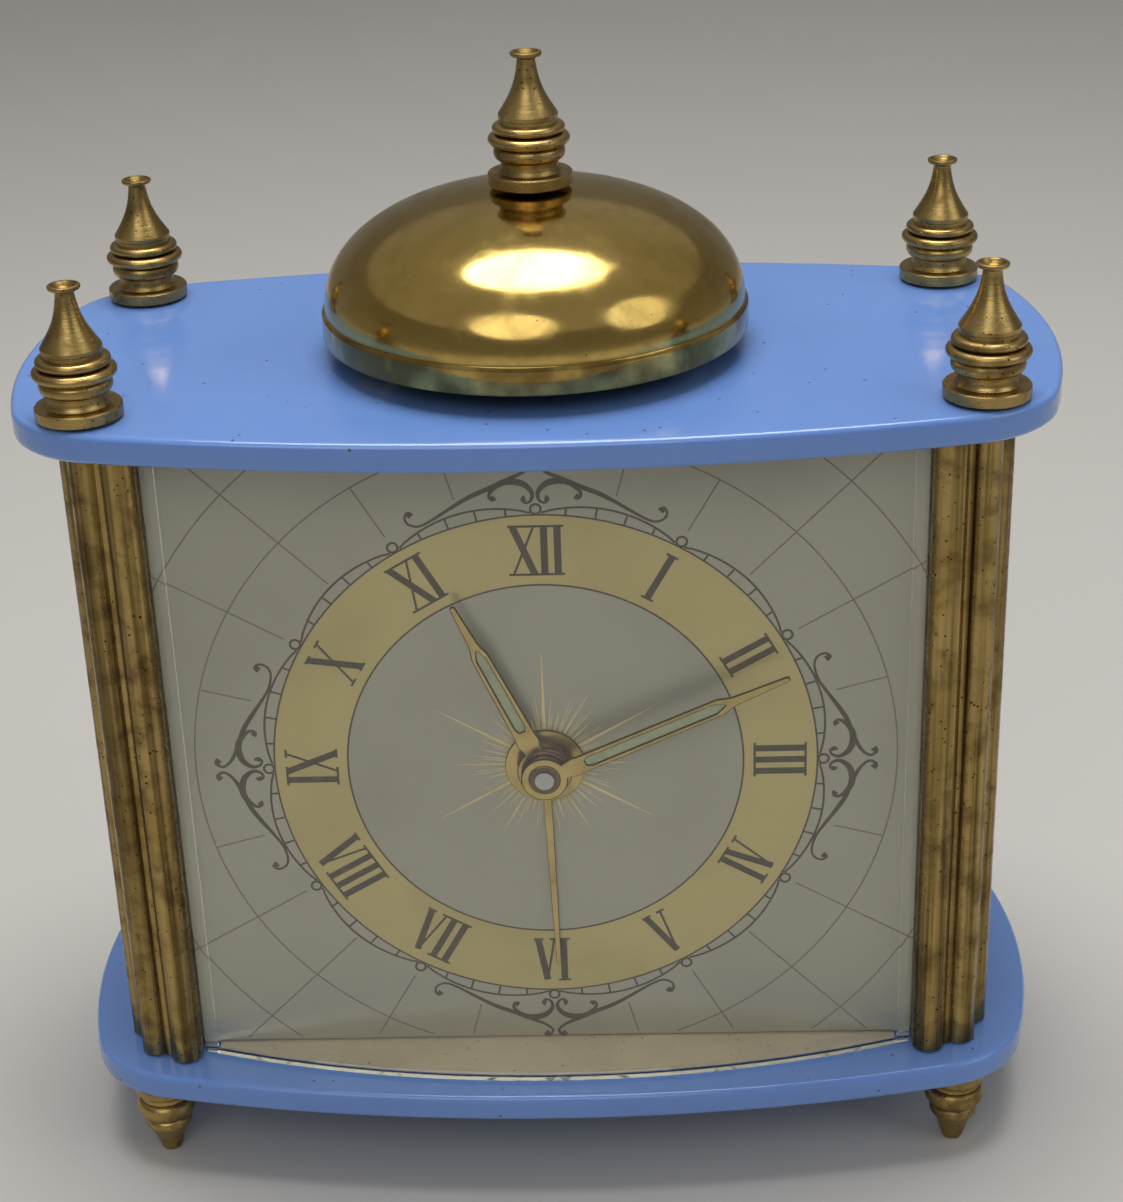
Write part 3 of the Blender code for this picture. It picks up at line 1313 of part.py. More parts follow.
minute_wheel = spindle(
    "minute_wheel",
    [
        (HOUR_WHEEL_DEPTH - MINUTE_STUD_FRONT, MOVEMENT_FRONT - MINUTE_STUD_BACK, ARBOR_RADIUS),
        (MOVEMENT_FRONT - MINUTE_STUD_BACK, MOVEMENT_INNER_FRONT + MINUTE_PIVOT_REACH, PIVOT_RADIUS),
    ],
    10,
    MOVEMENT_BRASS,
)
add_wheel(
    minute_wheel,
    "minute_wheel_disc",
    [gear(MINUTE_TEETH, MOTION_MODULE, towards + math.pi)],
    MINUTE_WHEEL_DEPTH,
)
add_pinion(
    minute_wheel,
    "minute_pinion",
    MINUTE_LEAVES,
    hour_module,
    towards + math.pi + TURN / 2 / MINUTE_LEAVES,
    HOUR_WHEEL_DEPTH,
    WHEEL_THICK,
)
set_in_clock(minute_wheel, minute_at)

hour_wheel = sleeve(
    "hour_wheel",
    MINUTE_ARBOR_RADIUS + RUNNING,
    [
        (-HOUR_HAND_FRONT - HOUR_TUBE_STAND, HOUR_WHEEL_DEPTH - HOUR_HUB_FRONT, HOUR_TUBE_RADIUS),
        (HOUR_WHEEL_DEPTH - HOUR_HUB_FRONT, HOUR_WHEEL_DEPTH + HOUR_HUB_BACK, HOUR_HUB_RADIUS),
    ],
    12,
    MOVEMENT_BRASS,
)
add_wheel(
    hour_wheel,
    "hour_wheel_disc",
    [gear(HOUR_TEETH, hour_module, towards), ring(HOUR_DISC_BORE, 10)],
    HOUR_WHEEL_DEPTH,
)
set_in_clock(hour_wheel, CENTRE)

towards = direction(CENTRE, alarm_set_at)
alarm_wheel = sleeve(
    "alarm_wheel",
    HOUR_TUBE_RADIUS + RUNNING,
    [
        (-ALARM_HAND_FRONT, ALARM_WHEEL_DEPTH - ALARM_HUB_FRONT, ALARM_TUBE_RADIUS),
        (ALARM_WHEEL_DEPTH - ALARM_HUB_FRONT, ALARM_WHEEL_DEPTH + ALARM_HUB_BACK, ALARM_HUB_RADIUS),
    ],
    12,
    MOVEMENT_BRASS,
)
alarm_rim = ALARM_TEETH * ALARM_MODULE / 2
add_wheel(
    alarm_wheel,
    "alarm_wheel_disc",
    [
        gear(ALARM_TEETH, ALARM_MODULE, towards),
        ring(ALARM_DISC_BORE, 10),
        *windows(3, ALARM_WINDOW_INNER, alarm_rim - ALARM_RIM, ALARM_SPOKE, 0.5),
    ],
    ALARM_WHEEL_DEPTH,
)
set_in_clock(alarm_wheel, CENTRE)

# Alarm train
towards = direction(alarm_great_at, verge_at)
alarm_great_wheel = great_wheel("alarm_great_wheel", alarm_great_at, ALARM_GREAT_TEETH, towards)
verge_wheel = plain_arbor("verge_wheel", verge_at, MOVEMENT_BRASS)
phase = towards + math.pi + TURN / 2 / VERGE_LEAVES
add_pinion(verge_wheel, "verge_pinion", VERGE_LEAVES, GREAT_MODULE, phase, GREAT_DEPTH, GREAT_THICK)
towards = direction(verge_at, hammer_at)
verge_loops = [ratchet(VERGE_TEETH, VERGE_RADIUS, VERGE_RADIUS - VERGE_TOOTH, towards)]
add_wheel(verge_wheel, "verge_wheel_disc", verge_loops, VERGE_DEPTH)

# Hammer: an anchor over the verge wheel, a long wire arm and a small drum inside the bell
hammer = plain_arbor("hammer", hammer_at, STEEL)
reach = math.dist(hammer_at, verge_at) - VERGE_RADIUS
# One side of the anchor: its back, its tip beside the verge wheel, its inner side
anchor_side = [
    (-VERGE_ANCHOR_BACK, VERGE_ANCHOR_BACK),
    (HAMMER_ARM_HALF, VERGE_ANCHOR_HALF - VERGE_ANCHOR_BAR),
    (reach - VERGE_ANCHOR_GAP, VERGE_ANCHOR_HALF),
    (reach - VERGE_ANCHOR_GAP, VERGE_ANCHOR_HALF - VERGE_ANCHOR_BAR),
    (VERGE_ANCHOR_BACK, VERGE_ANCHOR_HALF - 2 * VERGE_ANCHOR_BAR),
]
anchor = [(x, -y) for x, y in anchor_side]
anchor += [(VERGE_ANCHOR_BACK, 0.0)]
anchor += anchor_side[::-1]
anchor_loop = rotated(anchor, direction(hammer_at, verge_at))
join(hammer, sheet("hammer_anchor", [anchor_loop], VERGE_DEPTH, VERGE_DEPTH + WHEEL_THICK))
head_spot = (HAMMER_HEAD_X - HAMMER_X, BELL_RIM + BELL_BAND - DIAL_Z - HAMMER_Y)
arm_angle = math.atan2(head_spot[1], head_spot[0])
arm_length = math.hypot(*head_spot)
arm_side = [(0.0, HAMMER_ARM_HALF), (arm_length, HAMMER_ARM_HALF)]
arm_loop = [(x, -y) for x, y in arm_side] + arm_side[::-1]
arm_front = HAMMER_DEPTH - HAMMER_ARM_HALF
arm_back = HAMMER_DEPTH + HAMMER_ARM_HALF
join(hammer, sheet("hammer_arm", [rotated(arm_loop, arm_angle)], arm_front, arm_back))
head = turned(
    "hammer_head",
    [
        (0.0, HAMMER_HEAD_HALF),
        (HAMMER_HEAD_RADIUS * HAMMER_HEAD_ROUND, HAMMER_HEAD_HALF),
        (HAMMER_HEAD_RADIUS, HAMMER_HEAD_HALF * HAMMER_HEAD_ROUND),
        (HAMMER_HEAD_RADIUS, -HAMMER_HEAD_HALF * HAMMER_HEAD_ROUND),
        (HAMMER_HEAD_RADIUS * HAMMER_HEAD_ROUND, -HAMMER_HEAD_HALF),
        (0.0, -HAMMER_HEAD_HALF),
    ],
    10,
)
head.rotation_euler = (0.0, math.pi / 2, 0.0)
head.location = (head_spot[0], head_spot[1], -HAMMER_DEPTH)
join(hammer, head)


# Hands: slim pointed batons with a slot for the luminous paint
def baton(boss, root, half_root, half_neck, neck, length, half_tip, angle):
    """Outline of a hand that points along the angle, clockwise from twelve."""
    turn = math.radians(90 - angle)
    meet = math.asin(0.62 * half_root / boss)
    loop = arc((0, 0), boss, meet, TURN - meet, 12)
    loop += [
        (root, -half_root),
        (neck - HAND_NECK_TAPER, -half_neck),
        (neck, -half_tip * 1.6),
        (length, -half_tip * 0.6),
        (length, half_tip * 0.6),
        (neck, half_tip * 1.6),
        (neck - HAND_NECK_TAPER, half_neck),
        (root, half_root),
    ]
    return rotated(loop, turn)


def slot(start, half_start, half_end, end, angle):
    turn = math.radians(90 - angle)
    loop = [
        (start, -half_start * 0.6),
        (start + half_start, -half_start),
        (end - half_end * 1.5, -half_end),
        (end, 0.0),
        (end - half_end * 1.5, half_end),
        (start + half_start, half_start),
        (start, half_start * 0.6),
    ]
    return rotated(loop, turn)


def bushed_hand(name, outline, openings, bush, bore, front, surface):
    """A hand with a turned bush that sits on its arbor or tube."""
    back = front - HAND_THICK
    hand = sleeve(
        name,
        bore,
        [(-front - BUSH_FRONT, -back + BUSH_BACK, bush)],
        12,
        surface,
    )
    blade = sheet(name + "_blade", [outline, ring((bore + bush) / 2, 10), *openings], -front, -back)
    join(hand, blade)
    return set_in_clock(hand, CENTRE)


minute_hand = bushed_hand(
    "minute_hand",
    baton(
        MINUTE_BOSS_RADIUS,
        MINUTE_ROOT,
        MINUTE_HALF_ROOT,
        MINUTE_HALF_NECK,
        MINUTE_NECK,
        MINUTE_HAND_LENGTH,
        HAND_HALF_TIP,
        MINUTE_HAND_ANGLE,
    ),
    [slot(MINUTE_SLOT_START, MINUTE_SLOT_HALF, MINUTE_SLOT_HALF, MINUTE_SLOT_END, MINUTE_HAND_ANGLE)],
    MINUTE_BUSH_RADIUS,
    MINUTE_ARBOR_RADIUS + HAND_FIT,
    MINUTE_HAND_FRONT,
    GILT,
)
hour_hand = bushed_hand(
    "hour_hand",
    baton(
        HOUR_BOSS_RADIUS,
        HOUR_ROOT,
        HOUR_HALF_ROOT,
        HOUR_HALF_NECK,
        HOUR_NECK,
        HOUR_HAND_LENGTH,
        HAND_HALF_TIP,
        HOUR_HAND_ANGLE,
    ),
    [slot(HOUR_SLOT_START, HOUR_SLOT_HALF_ROOT, HOUR_SLOT_HALF_END, HOUR_SLOT_END, HOUR_HAND_ANGLE)],
    HOUR_BUSH_RADIUS,
    HOUR_TUBE_RADIUS + HAND_FIT,
    HOUR_HAND_FRONT,
    GILT,
)


def alarm_hand_outline():
    turn = math.radians(90 - ALARM_HAND_ANGLE)
    meet = math.asin(ALARM_HALF_ROOT / ALARM_BOSS_RADIUS)
    loop = arc((0, 0), ALARM_BOSS_RADIUS, meet, TURN - meet, 20)
    loop += [(ALARM_HAND_LENGTH, -HAND_HALF_TIP), (ALARM_HAND_LENGTH, HAND_HALF_TIP)]
    return rotated(loop, turn)


alarm_hand = sheet(
    "alarm_hand",
    [alarm_hand_outline(), ring(ALARM_TUBE_RADIUS + HAND_FIT, 20)],
    -ALARM_HAND_FRONT,
    HAND_THICK - ALARM_HAND_FRONT,
    GILT,
)
set_in_clock(alarm_hand, CENTRE)

# Rear cover with its holes
cover_gap = CASE_WALL + SEAT
slot_swing = math.radians(REGULATOR_SWING) + (REGULATOR_PIN_RADIUS + SEAT) / REGULATOR_REACH
slot_half = REGULATOR_PIN_RADIUS + SEAT
slot_loop = arc(balance_at, REGULATOR_REACH + slot_half, TURN / 4 - slot_swing, TURN / 4 + slot_swing, 5)
slot_loop += arc(balance_at, REGULATOR_REACH - slot_half, TURN / 4 + slot_swing, TURN / 4 - slot_swing, 5)
cover_half = CASE_HALF_X - cover_gap
cover_low = CASE_LOW + cover_gap - DIAL_Z
cover_high = CASE_HIGH - cover_gap - DIAL_Z
cover_holes = [
    ring(KEY_ARBOR_RADIUS + 2 * SEAT, 10, time_great_at),
    ring(KEY_ARBOR_RADIUS + 2 * SEAT, 10, alarm_great_at),
    ring(MINUTE_ARBOR_RADIUS + 2 * SEAT, 10, CENTRE),
    ring(ARBOR_RADIUS + 2 * SEAT, 8, alarm_set_at),
    ring(STOP_RADIUS + SEAT, 8, stop_at),
    slot_loop,
]
cover_holes += [ring(COVER_SCREW_RADIUS + RUNNING, 8, (x, z - DIAL_Z)) for x, z in BOSS_SPOTS]
rear_cover = sheet(
    "rear_cover",
    [
        [
            (-cover_half, cover_low),
            (cover_half, cover_low),
            (cover_half, cover_high),
            (-cover_half, cover_high),
        ],
        *cover_holes,
    ],
    COVER_FRONT,
    COVER_BACK,
    CREAM,
)
set_in_clock(rear_cover, CENTRE)

# Winding keys: arbor with ratchet wheel and spring hub, barrel and butterfly wings
KEY_FRONT = COVER_BACK + 2 * SEAT


def winding_key(name, at, lean):
    hub_front = SPRING_DEPTH - SPRING_HUB_FRONT
    hub_back = SPRING_DEPTH + SPRING_WIDTH + SPRING_HUB_BACK
    arbor = spindle(
        name,
        [
            (MOVEMENT_FRONT + SEAT, hub_front, KEY_ARBOR_RADIUS),
            (hub_front, hub_back, SPRING_HUB_RADIUS),
            (hub_back, KEY_FRONT, KEY_ARBOR_RADIUS),
            (KEY_FRONT, KEY_FRONT + KEY_BARREL_LENGTH, KEY_BARREL_RADIUS),
        ],
        10,
        BRASS,
    )
    join(
        arbor,
        sheet(
            name + "_ratchet",
            [ratchet(RATCHET_TEETH, RATCHET_TIP, RATCHET_ROOT, 0.0)],
            MOVEMENT_INNER_FRONT + RATCHET_FRONT,
            GREAT_DEPTH - RATCHET_GAP,
        ),
    )
    low = KEY_WING_LOW
    span = KEY_HALF_SPAN
    tall = KEY_HEIGHT
    wing = [
        (0.0, 0.0),
        (KEY_BARREL_RADIUS - KEY_WING_INSET, 0.0),
        (span * 0.55, low),
        (span * 0.92, low * 1.6),
        (span, tall * 0.42),
        (span * 0.94, tall * 0.80),
        (span * 0.72, tall),
        (span * 0.42, tall * 0.86),
        (span * 0.20, tall * 0.52),
    ]
    left = [(-x, y) for x, y in reversed(wing[1:])]
    wings = flat(name + "_wings", [wing + left], -KEY_THICK / 2, KEY_THICK / 2)
    # The wings' outline stands on the barrel: its height runs towards the back
    wings.rotation_euler = (-math.pi / 2, 0.0, math.radians(lean))
    wings.location = (0.0, 0.0, -(KEY_FRONT + KEY_BARREL_LENGTH - KEY_WING_SINK))
    join(arbor, wings)
    return set_in_clock(arbor, at)


time_key = winding_key("time_key", time_great_at, 25)
alarm_key = winding_key("alarm_key", alarm_great_at, -25)


# Setting knobs with grooved edges
def knob(name, at, radius, notches):
    loop = []
    for i in range(notches):
        angle = TURN * i / notches
        step = TURN / notches
        loop.append(polar(radius, angle))
        loop.append(polar(radius, angle + step * 0.5))
        loop.append(polar(radius - KNOB_NOTCH, angle + step * 0.75))
    return sheet(name, [loop], KEY_FRONT, KEY_FRONT + KNOB_LENGTH, BRASS)


hand_knob = knob("hand_knob", CENTRE, HAND_KNOB_RADIUS, 14)
knob_hole = sheet(
    "hand_knob_hole",
    [ring(MINUTE_ARBOR_RADIUS + HAND_FIT, 12)],
    KEY_FRONT - KNOB_GRIP,
    COVER_BACK + MINUTE_ARBOR_REACH + SEAT,
)
knob_hole.parent = hand_knob
cut(hand_knob, knob_hole)
set_in_clock(hand_knob, CENTRE)

alarm_knob = knob("alarm_knob", alarm_set_at, ALARM_KNOB_RADIUS, 12)
setting_arbor = spindle(
    "setting_arbor",
    [(ALARM_WHEEL_DEPTH - SETTING_ARBOR_FRONT, KEY_FRONT + KNOB_GRIP, ARBOR_RADIUS)],
    10,
)
join(alarm_knob, setting_arbor)
towards = direction(CENTRE, alarm_set_at)
add_pinion(
    alarm_knob,
    "setting_pinion",
    ALARM_SET_TEETH,
    ALARM_MODULE,
    towards + math.pi + TURN / 2 / ALARM_SET_TEETH,
    ALARM_WHEEL_DEPTH,
    WHEEL_THICK,
)
set_in_clock(alarm_knob, alarm_set_at)

# Stop button, drawn out: pushed in, its rod stands beside the hammer's arm
stop_button = spindle(
    "stop_button",
    [
        (HAMMER_DEPTH + STOP_CLEAR + STOP_REST, COVER_BACK + SEAT + STOP_TRAVEL, STOP_RADIUS),
        (COVER_BACK + SEAT + STOP_TRAVEL, COVER_BACK + STOP_TRAVEL + STOP_CAP_LENGTH, STOP_CAP_RADIUS),
    ],
    14,
    BLACK,
)
set_in_clock(stop_button, stop_at)

# Regulator: an index on the back plate, whose pin comes out through the cover's arc
index_front = MOVEMENT_BACK + INDEX_STAND
index_back = index_front + INDEX_THICK
meet = math.asin(INDEX_HALF / INDEX_HUB_RADIUS)
index_loop = arc((0, 0), INDEX_HUB_RADIUS, meet, TURN - meet, 14)
index_loop += [
    (REGULATOR_REACH, -INDEX_HALF),
    (REGULATOR_REACH + INDEX_POINT, 0.0),
    (REGULATOR_REACH, INDEX_HALF),
]
index_loops = [rotated(index_loop, TURN / 4), ring(INDEX_BORE, 10)]
regulator = sheet("regulator", index_loops, index_front, index_back, STEEL)
index_pin = spindle(
    "index_pin",
    [((index_front + index_back) / 2, COVER_BACK + REGULATOR_PIN_OUT, REGULATOR_PIN_RADIUS)],
    10,
)
index_pin.location = (0.0, REGULATOR_REACH, 0.0)
join(regulator, index_pin)
set_in_clock(regulator, balance_at)
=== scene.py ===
# %% [markdown]
# # A bell alarm clock, dressed for its portrait
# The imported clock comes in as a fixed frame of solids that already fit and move. This lesson gives each
# visible piece its fine shape and its finish: turned brass, reeded corner posts, glossy blue plates, a
# printed dial behind a bowed window, and a polished bell. All lengths are metres, +Z is up, and the dial
# faces -Y.

# %% Load the frame
import json
import math

import bpy
from mathutils import Matrix, Vector


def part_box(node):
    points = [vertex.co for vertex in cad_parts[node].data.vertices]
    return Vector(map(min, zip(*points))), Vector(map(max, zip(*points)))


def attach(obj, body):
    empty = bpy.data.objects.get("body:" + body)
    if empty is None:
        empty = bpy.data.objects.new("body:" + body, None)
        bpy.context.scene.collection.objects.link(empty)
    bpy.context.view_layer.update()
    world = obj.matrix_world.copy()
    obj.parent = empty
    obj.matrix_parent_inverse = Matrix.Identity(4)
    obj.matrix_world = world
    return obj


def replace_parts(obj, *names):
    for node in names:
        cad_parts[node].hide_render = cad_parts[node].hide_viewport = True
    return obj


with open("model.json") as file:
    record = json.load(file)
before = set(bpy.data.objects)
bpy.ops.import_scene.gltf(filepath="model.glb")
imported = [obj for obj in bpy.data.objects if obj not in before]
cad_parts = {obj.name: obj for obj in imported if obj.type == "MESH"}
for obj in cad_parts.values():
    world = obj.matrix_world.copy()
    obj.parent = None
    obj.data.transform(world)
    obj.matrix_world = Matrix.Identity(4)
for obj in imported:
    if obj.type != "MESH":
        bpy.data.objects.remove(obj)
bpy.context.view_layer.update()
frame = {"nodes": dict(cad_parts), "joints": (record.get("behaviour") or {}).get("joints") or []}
nodes = frame["nodes"]
MM = 0.001
TAU = 2 * math.pi

# %% [markdown]
# ## Reading places from the frame
# Every fitted piece of a real clock is measured against its neighbour. Numbers could be typed in again,
# but a box read from the solids can't drift from them, so the heights and axes below come from the nodes
# themselves.

# %% Heights and axes
base_low, base_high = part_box("base_plate")
top_low, top_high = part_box("top_plate")
dial_low, dial_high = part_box("dial")
bell_low, bell_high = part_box("bell")
lens_low, lens_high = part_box("lens")
HUB_Z = next(j for j in frame["joints"] if j["name"] == "minute_turn")["pos_m"][2]
DIAL_Y = dial_low.y
CORNERS = ("front_left", "front_right", "back_left", "back_right")


def middle(node):
    """The middle of a node's box in plan."""
    low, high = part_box(node)
    return (low.x + high.x) / 2, (low.y + high.y) / 2


corner_at = {corner: middle("tie_rod_" + corner) for corner in CORNERS}
print("hub height", round(HUB_Z / MM, 2), "dial at", round(DIAL_Y / MM, 2))
print({corner: [round(v / MM, 2) for v in at] for corner, at in corner_at.items()})

# %% [markdown]
# ## Camera
# A photograph is matched by solving where the camera stood. It could be nudged by eye, but the plates,
# finials, feet and dial circles of the picture fix its place, turn and focal length, so the solved values
# are used.

# %% Place the camera
CAMERA_PLACE = Vector((10.35, -244.66, 175.97)) * MM
CAMERA_TURN = math.radians(-1.797)
CAMERA_DIP = math.radians(25.374)
CAMERA_ROLL = math.radians(1.937)
FOCAL_PIXELS = 2361.53
PHOTO_SIZE = (1123, 1202)
PHOTO_CENTRE = (570.22, 608.47)
SENSOR = 36.0

ahead = Vector((
    math.sin(CAMERA_TURN) * math.cos(CAMERA_DIP),
    math.cos(CAMERA_TURN) * math.cos(CAMERA_DIP),
    -math.sin(CAMERA_DIP),
))
level = Vector((math.cos(CAMERA_TURN), -math.sin(CAMERA_TURN), 0.0))
down = ahead.cross(level)
right = math.cos(CAMERA_ROLL) * level + math.sin(CAMERA_ROLL) * down
low = -math.sin(CAMERA_ROLL) * level + math.cos(CAMERA_ROLL) * down
camera_data = bpy.data.cameras.new("portrait_camera")
camera = bpy.data.objects.new("portrait_camera", camera_data)
bpy.context.scene.collection.objects.link(camera)
turn = Matrix((right, -low, -ahead)).transposed()
camera.matrix_world = Matrix.Translation(CAMERA_PLACE) @ turn.to_4x4()
camera_data.sensor_fit = "AUTO"
camera_data.sensor_width = SENSOR
camera_data.lens = FOCAL_PIXELS * SENSOR / max(PHOTO_SIZE)
camera_data.shift_x = (PHOTO_SIZE[0] / 2 - PHOTO_CENTRE[0]) / max(PHOTO_SIZE)
camera_data.shift_y = (PHOTO_CENTRE[1] - PHOTO_SIZE[1] / 2) / max(PHOTO_SIZE)
camera_data.clip_start = 0.01
bpy.context.scene.camera = camera
print("lens", round(camera_data.lens, 2), "mm")

# %% [markdown]
# ## Small helpers
# With no window open, an operator works on whatever is selected, so each piece starts from an empty
# selection and ends with its place stored in its mesh. These helpers keep that in one place.

# %% Helpers for modelling
SEAM = 1e-6
GENTLE_ANGLE = 35.0


def nothing_selected():
    """Object mode with an empty selection."""
    if bpy.context.object and bpy.context.object.mode != "OBJECT":
        bpy.ops.object.mode_set(mode="OBJECT")
    bpy.ops.object.select_all(action="DESELECT")


def choose(piece):
    """Make one piece the active and only selected one."""
    nothing_selected()
    piece.select_set(True)
    bpy.context.view_layer.objects.active = piece


def settle(piece, angle=GENTLE_ANGLE):
    """Store the place in the mesh, close seams, turn faces outwards and smooth the gentle edges."""
    choose(piece)
    bpy.ops.object.transform_apply(location=True, rotation=True, scale=True)
    bpy.ops.object.mode_set(mode="EDIT")
    bpy.ops.mesh.select_all(action="SELECT")
    bpy.ops.mesh.remove_doubles(threshold=SEAM)
    bpy.ops.mesh.normals_make_consistent(inside=False)
    bpy.ops.object.mode_set(mode="OBJECT")
    bpy.ops.object.shade_smooth_by_angle(angle=math.radians(angle))
    return piece


def dressed(piece, body, finish, *replaced):
    """Give a piece its finish, its body and the nodes that it stands for."""
    piece.data.materials.clear()
    piece.data.materials.append(finish)
    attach(piece, body)
    for node in replaced:
        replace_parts(piece, node)
    return piece


def copied(piece, name, shift):
    """A copy with its own mesh, moved within that mesh."""
    twin = piece.copy()
    twin.data = piece.data.copy()
    twin.name = name
    twin.data.name = name
    bpy.context.scene.collection.objects.link(twin)
    twin.data.transform(Matrix.Translation(shift))
    return twin


def modified(piece, kind, **settings):
    """Add a modifier, set it and apply it."""
    choose(piece)
    modifier = piece.modifiers.new(kind.lower(), kind)
    for key, value in settings.items():
        setattr(modifier, key, value)
    bpy.ops.object.modifier_apply(modifier=modifier.name)
    return piece


print("modelling helpers ready")

# %% [markdown]
# ## Lathe work
# Finials, feet, knobs and the bell are turned pieces. A stack of cylinders would show steps, so the half
# profile is drawn the way a turner reads it, point by point up from the base, and spun once round the
# axis.

# %% Draw a profile and spin it


def turned(name, profile, at=(0.0, 0.0), steps=72, along="Z"):
    """Spin a half profile of (radius, height) points round an upright or a front-to-back axis."""
    nothing_selected()
    bpy.ops.mesh.primitive_plane_add(size=0.001, location=(0.0, 0.0, 0.0))
    piece = bpy.context.object
    piece.name = name
    piece.data.name = name
    bpy.ops.object.mode_set(mode="EDIT")
    bpy.ops.mesh.select_mode(type="VERT")
    bpy.ops.mesh.select_all(action="SELECT")
    bpy.ops.mesh.merge(type="CENTER")
    bpy.ops.transform.translate(value=(profile[0][0], 0.0, profile[0][1]))
    for before, after in zip(profile, profile[1:]):
        step = (after[0] - before[0], 0.0, after[1] - before[1])
        bpy.ops.mesh.extrude_region_move(TRANSFORM_OT_translate={"value": step})
    bpy.ops.mesh.select_all(action="SELECT")
    bpy.ops.mesh.spin(steps=steps, angle=TAU, center=(0.0, 0.0, 0.0), axis=(0.0, 0.0, 1.0))
    bpy.ops.object.mode_set(mode="OBJECT")
    if along == "Y":
        piece.data.transform(Matrix.Rotation(math.radians(-90), 4, "X"))
        piece.data.transform(Matrix.Translation((at[0], 0.0, at[1])))
    else:
        piece.data.transform(Matrix.Translation((at[0], at[1], 0.0)))
    return settle(piece)


def bead(radius, low, high, belly, points=6):
    """Profile points of a rounded ring between two heights, from its low edge to its high edge."""
    made = []
    for i in range(points + 1):
        angle = math.pi * (i / points - 0.5)
        made.append((radius + belly * math.cos(angle), low + (high - low) * (0.5 + 0.5 * math.sin(angle))))
    return made


def in_mm(points):
    """Points given in millimetres, in metres."""
    return [(a * MM, b * MM) for a, b in points]


def hollow(radius_low, low, radius_high, high, depth, points=8):
    """Profile points of a hollow sweep between two heights, bent inwards by a depth."""
    made = []
    for i in range(points + 1):
        share = i / points
        bent = depth * math.sin(math.pi * share)
        made.append((radius_low + (radius_high - radius_low) * share - bent, low + (high - low) * share))
    return made


print("lathe ready")

# %% [markdown]
# ## Shared effects
# Age shows in the same few ways on every metal here: dark oxide spots, fine marks of the tool and a drift in
# colour. Two more effects are painted light: reflection streaks on the posts and shade on the hands' rims.
# Each is a node group with its own inputs, so one effect can be faint on the bell and strong on a corner
# post. Painting them by hand would look right from one side only.

# %% Node group helpers


def new_group(name, output, **inputs):
    """A shader node group of number sockets, with its inner input and output nodes."""
    tree = bpy.data.node_groups.new(name, "ShaderNodeTree")
    for label, value in inputs.items():
        socket = tree.interface.new_socket(name=label, in_out="INPUT", socket_type="NodeSocketFloat")
        socket.default_value = value
    tree.interface.new_socket(name=output, in_out="OUTPUT", socket_type="NodeSocketFloat")
    return tree, tree.nodes.new("NodeGroupInput"), tree.nodes.new("NodeGroupOutput")


def add_node(tree, kind, values=(), links=(), **settings):
    """Add a node, set its properties, fill its inputs by name or number and join others to it."""
    made = tree.nodes.new(kind)
    for key, value in settings.items():
        setattr(made, key, value)
    for key, value in dict(values).items():
        made.inputs[key].default_value = value
    for key, source in dict(links).items():
        tree.links.new(source, made.inputs[key])
    return made


def ramped(tree, source, low, high):
    """A smooth step of a value from 0 at low to 1 at high."""
    ends = {1: low, 2: high}
    return add_node(tree, "ShaderNodeMapRange", ends, {0: source}, interpolation_type="SMOOTHSTEP").outputs[0]


def put(tree, socket, value):
    """Set a socket to a plain value, or join another node's output to it."""
    if isinstance(value, bpy.types.NodeSocket):
        tree.links.new(value, socket)
    else:
        socket.default_value = value


def maths(tree, operation, *values):
    """One sum on values that are plain numbers or come from other nodes."""
    made = add_node(tree, "ShaderNodeMath", operation=operation)
    for i, value in enumerate(values):
        put(tree, made.inputs[i], value)
    return made.outputs[0]


def mixed(tree, share, first, second):
    """One colour over another by a mask, either colour plain or linked."""
    made = add_node(tree, "ShaderNodeMix", {}, {0: share}, data_type="RGBA")
    for i, value in ((6, first), (7, second)):
        put(tree, made.inputs[i], (*value, 1.0) if isinstance(value, tuple) else value)
    return made.outputs[2]


def on_piece(tree):
    """A place counted from the piece's own origin, so that a pattern moves with the piece."""
    return add_node(tree, "ShaderNodeTexCoord").outputs["Object"]


def noise(tree, place, scale, detail, **others):
    """Cloudy noise over a place, with a plain or linked scale."""
    made = add_node(tree, "ShaderNodeTexNoise", {"Detail": detail, **others}, {"Vector": place})
    put(tree, made.inputs["Scale"], scale)
    return made.outputs[0]


print("node helpers ready")

# %% [markdown]
# Pits are cells with a dark middle that reaches further in some patches than in others. Patina is plain
# cloudy noise, cut so that part of the metal stays clean. Dust is a few of many cells, each shrunk to a
# grain.

# %% Pits, patina and dust
PATCH_SHARE = 0.16
PIT_EDGE = 0.08
PATINA_FROM, PATINA_TO = 0.42, 0.72
GRAIN_EDGE = 0.05
FEW_FROM, FEW_TO = 0.72, 0.76

pits, gin, gout = new_group("oxide_pits", "Mask", Scale=900.0, Cover=0.3)
place = on_piece(pits)
size = gin.outputs["Scale"]
cells = add_node(pits, "ShaderNodeTexVoronoi", {"Randomness": 1.0}, {"Vector": place, "Scale": size})
patch = noise(pits, place, maths(pits, "MULTIPLY", size, PATCH_SHARE), 4.0)
reach = maths(pits, "MULTIPLY", patch, gin.outputs["Cover"])
sharp = maths(pits, "SUBTRACT", reach, cells.outputs["Distance"])
pits.links.new(ramped(pits, sharp, 0.0, PIT_EDGE), gout.inputs["Mask"])

patina, gin, gout = new_group("patina", "Mask", Scale=160.0, Amount=0.5)
cloud = noise(patina, on_piece(patina), gin.outputs["Scale"], 6.0, Roughness=0.62, Distortion=0.4)
faded = ramped(patina, cloud, PATINA_FROM, PATINA_TO)
patina.links.new(maths(patina, "MULTIPLY", faded, gin.outputs["Amount"]), gout.inputs["Mask"])

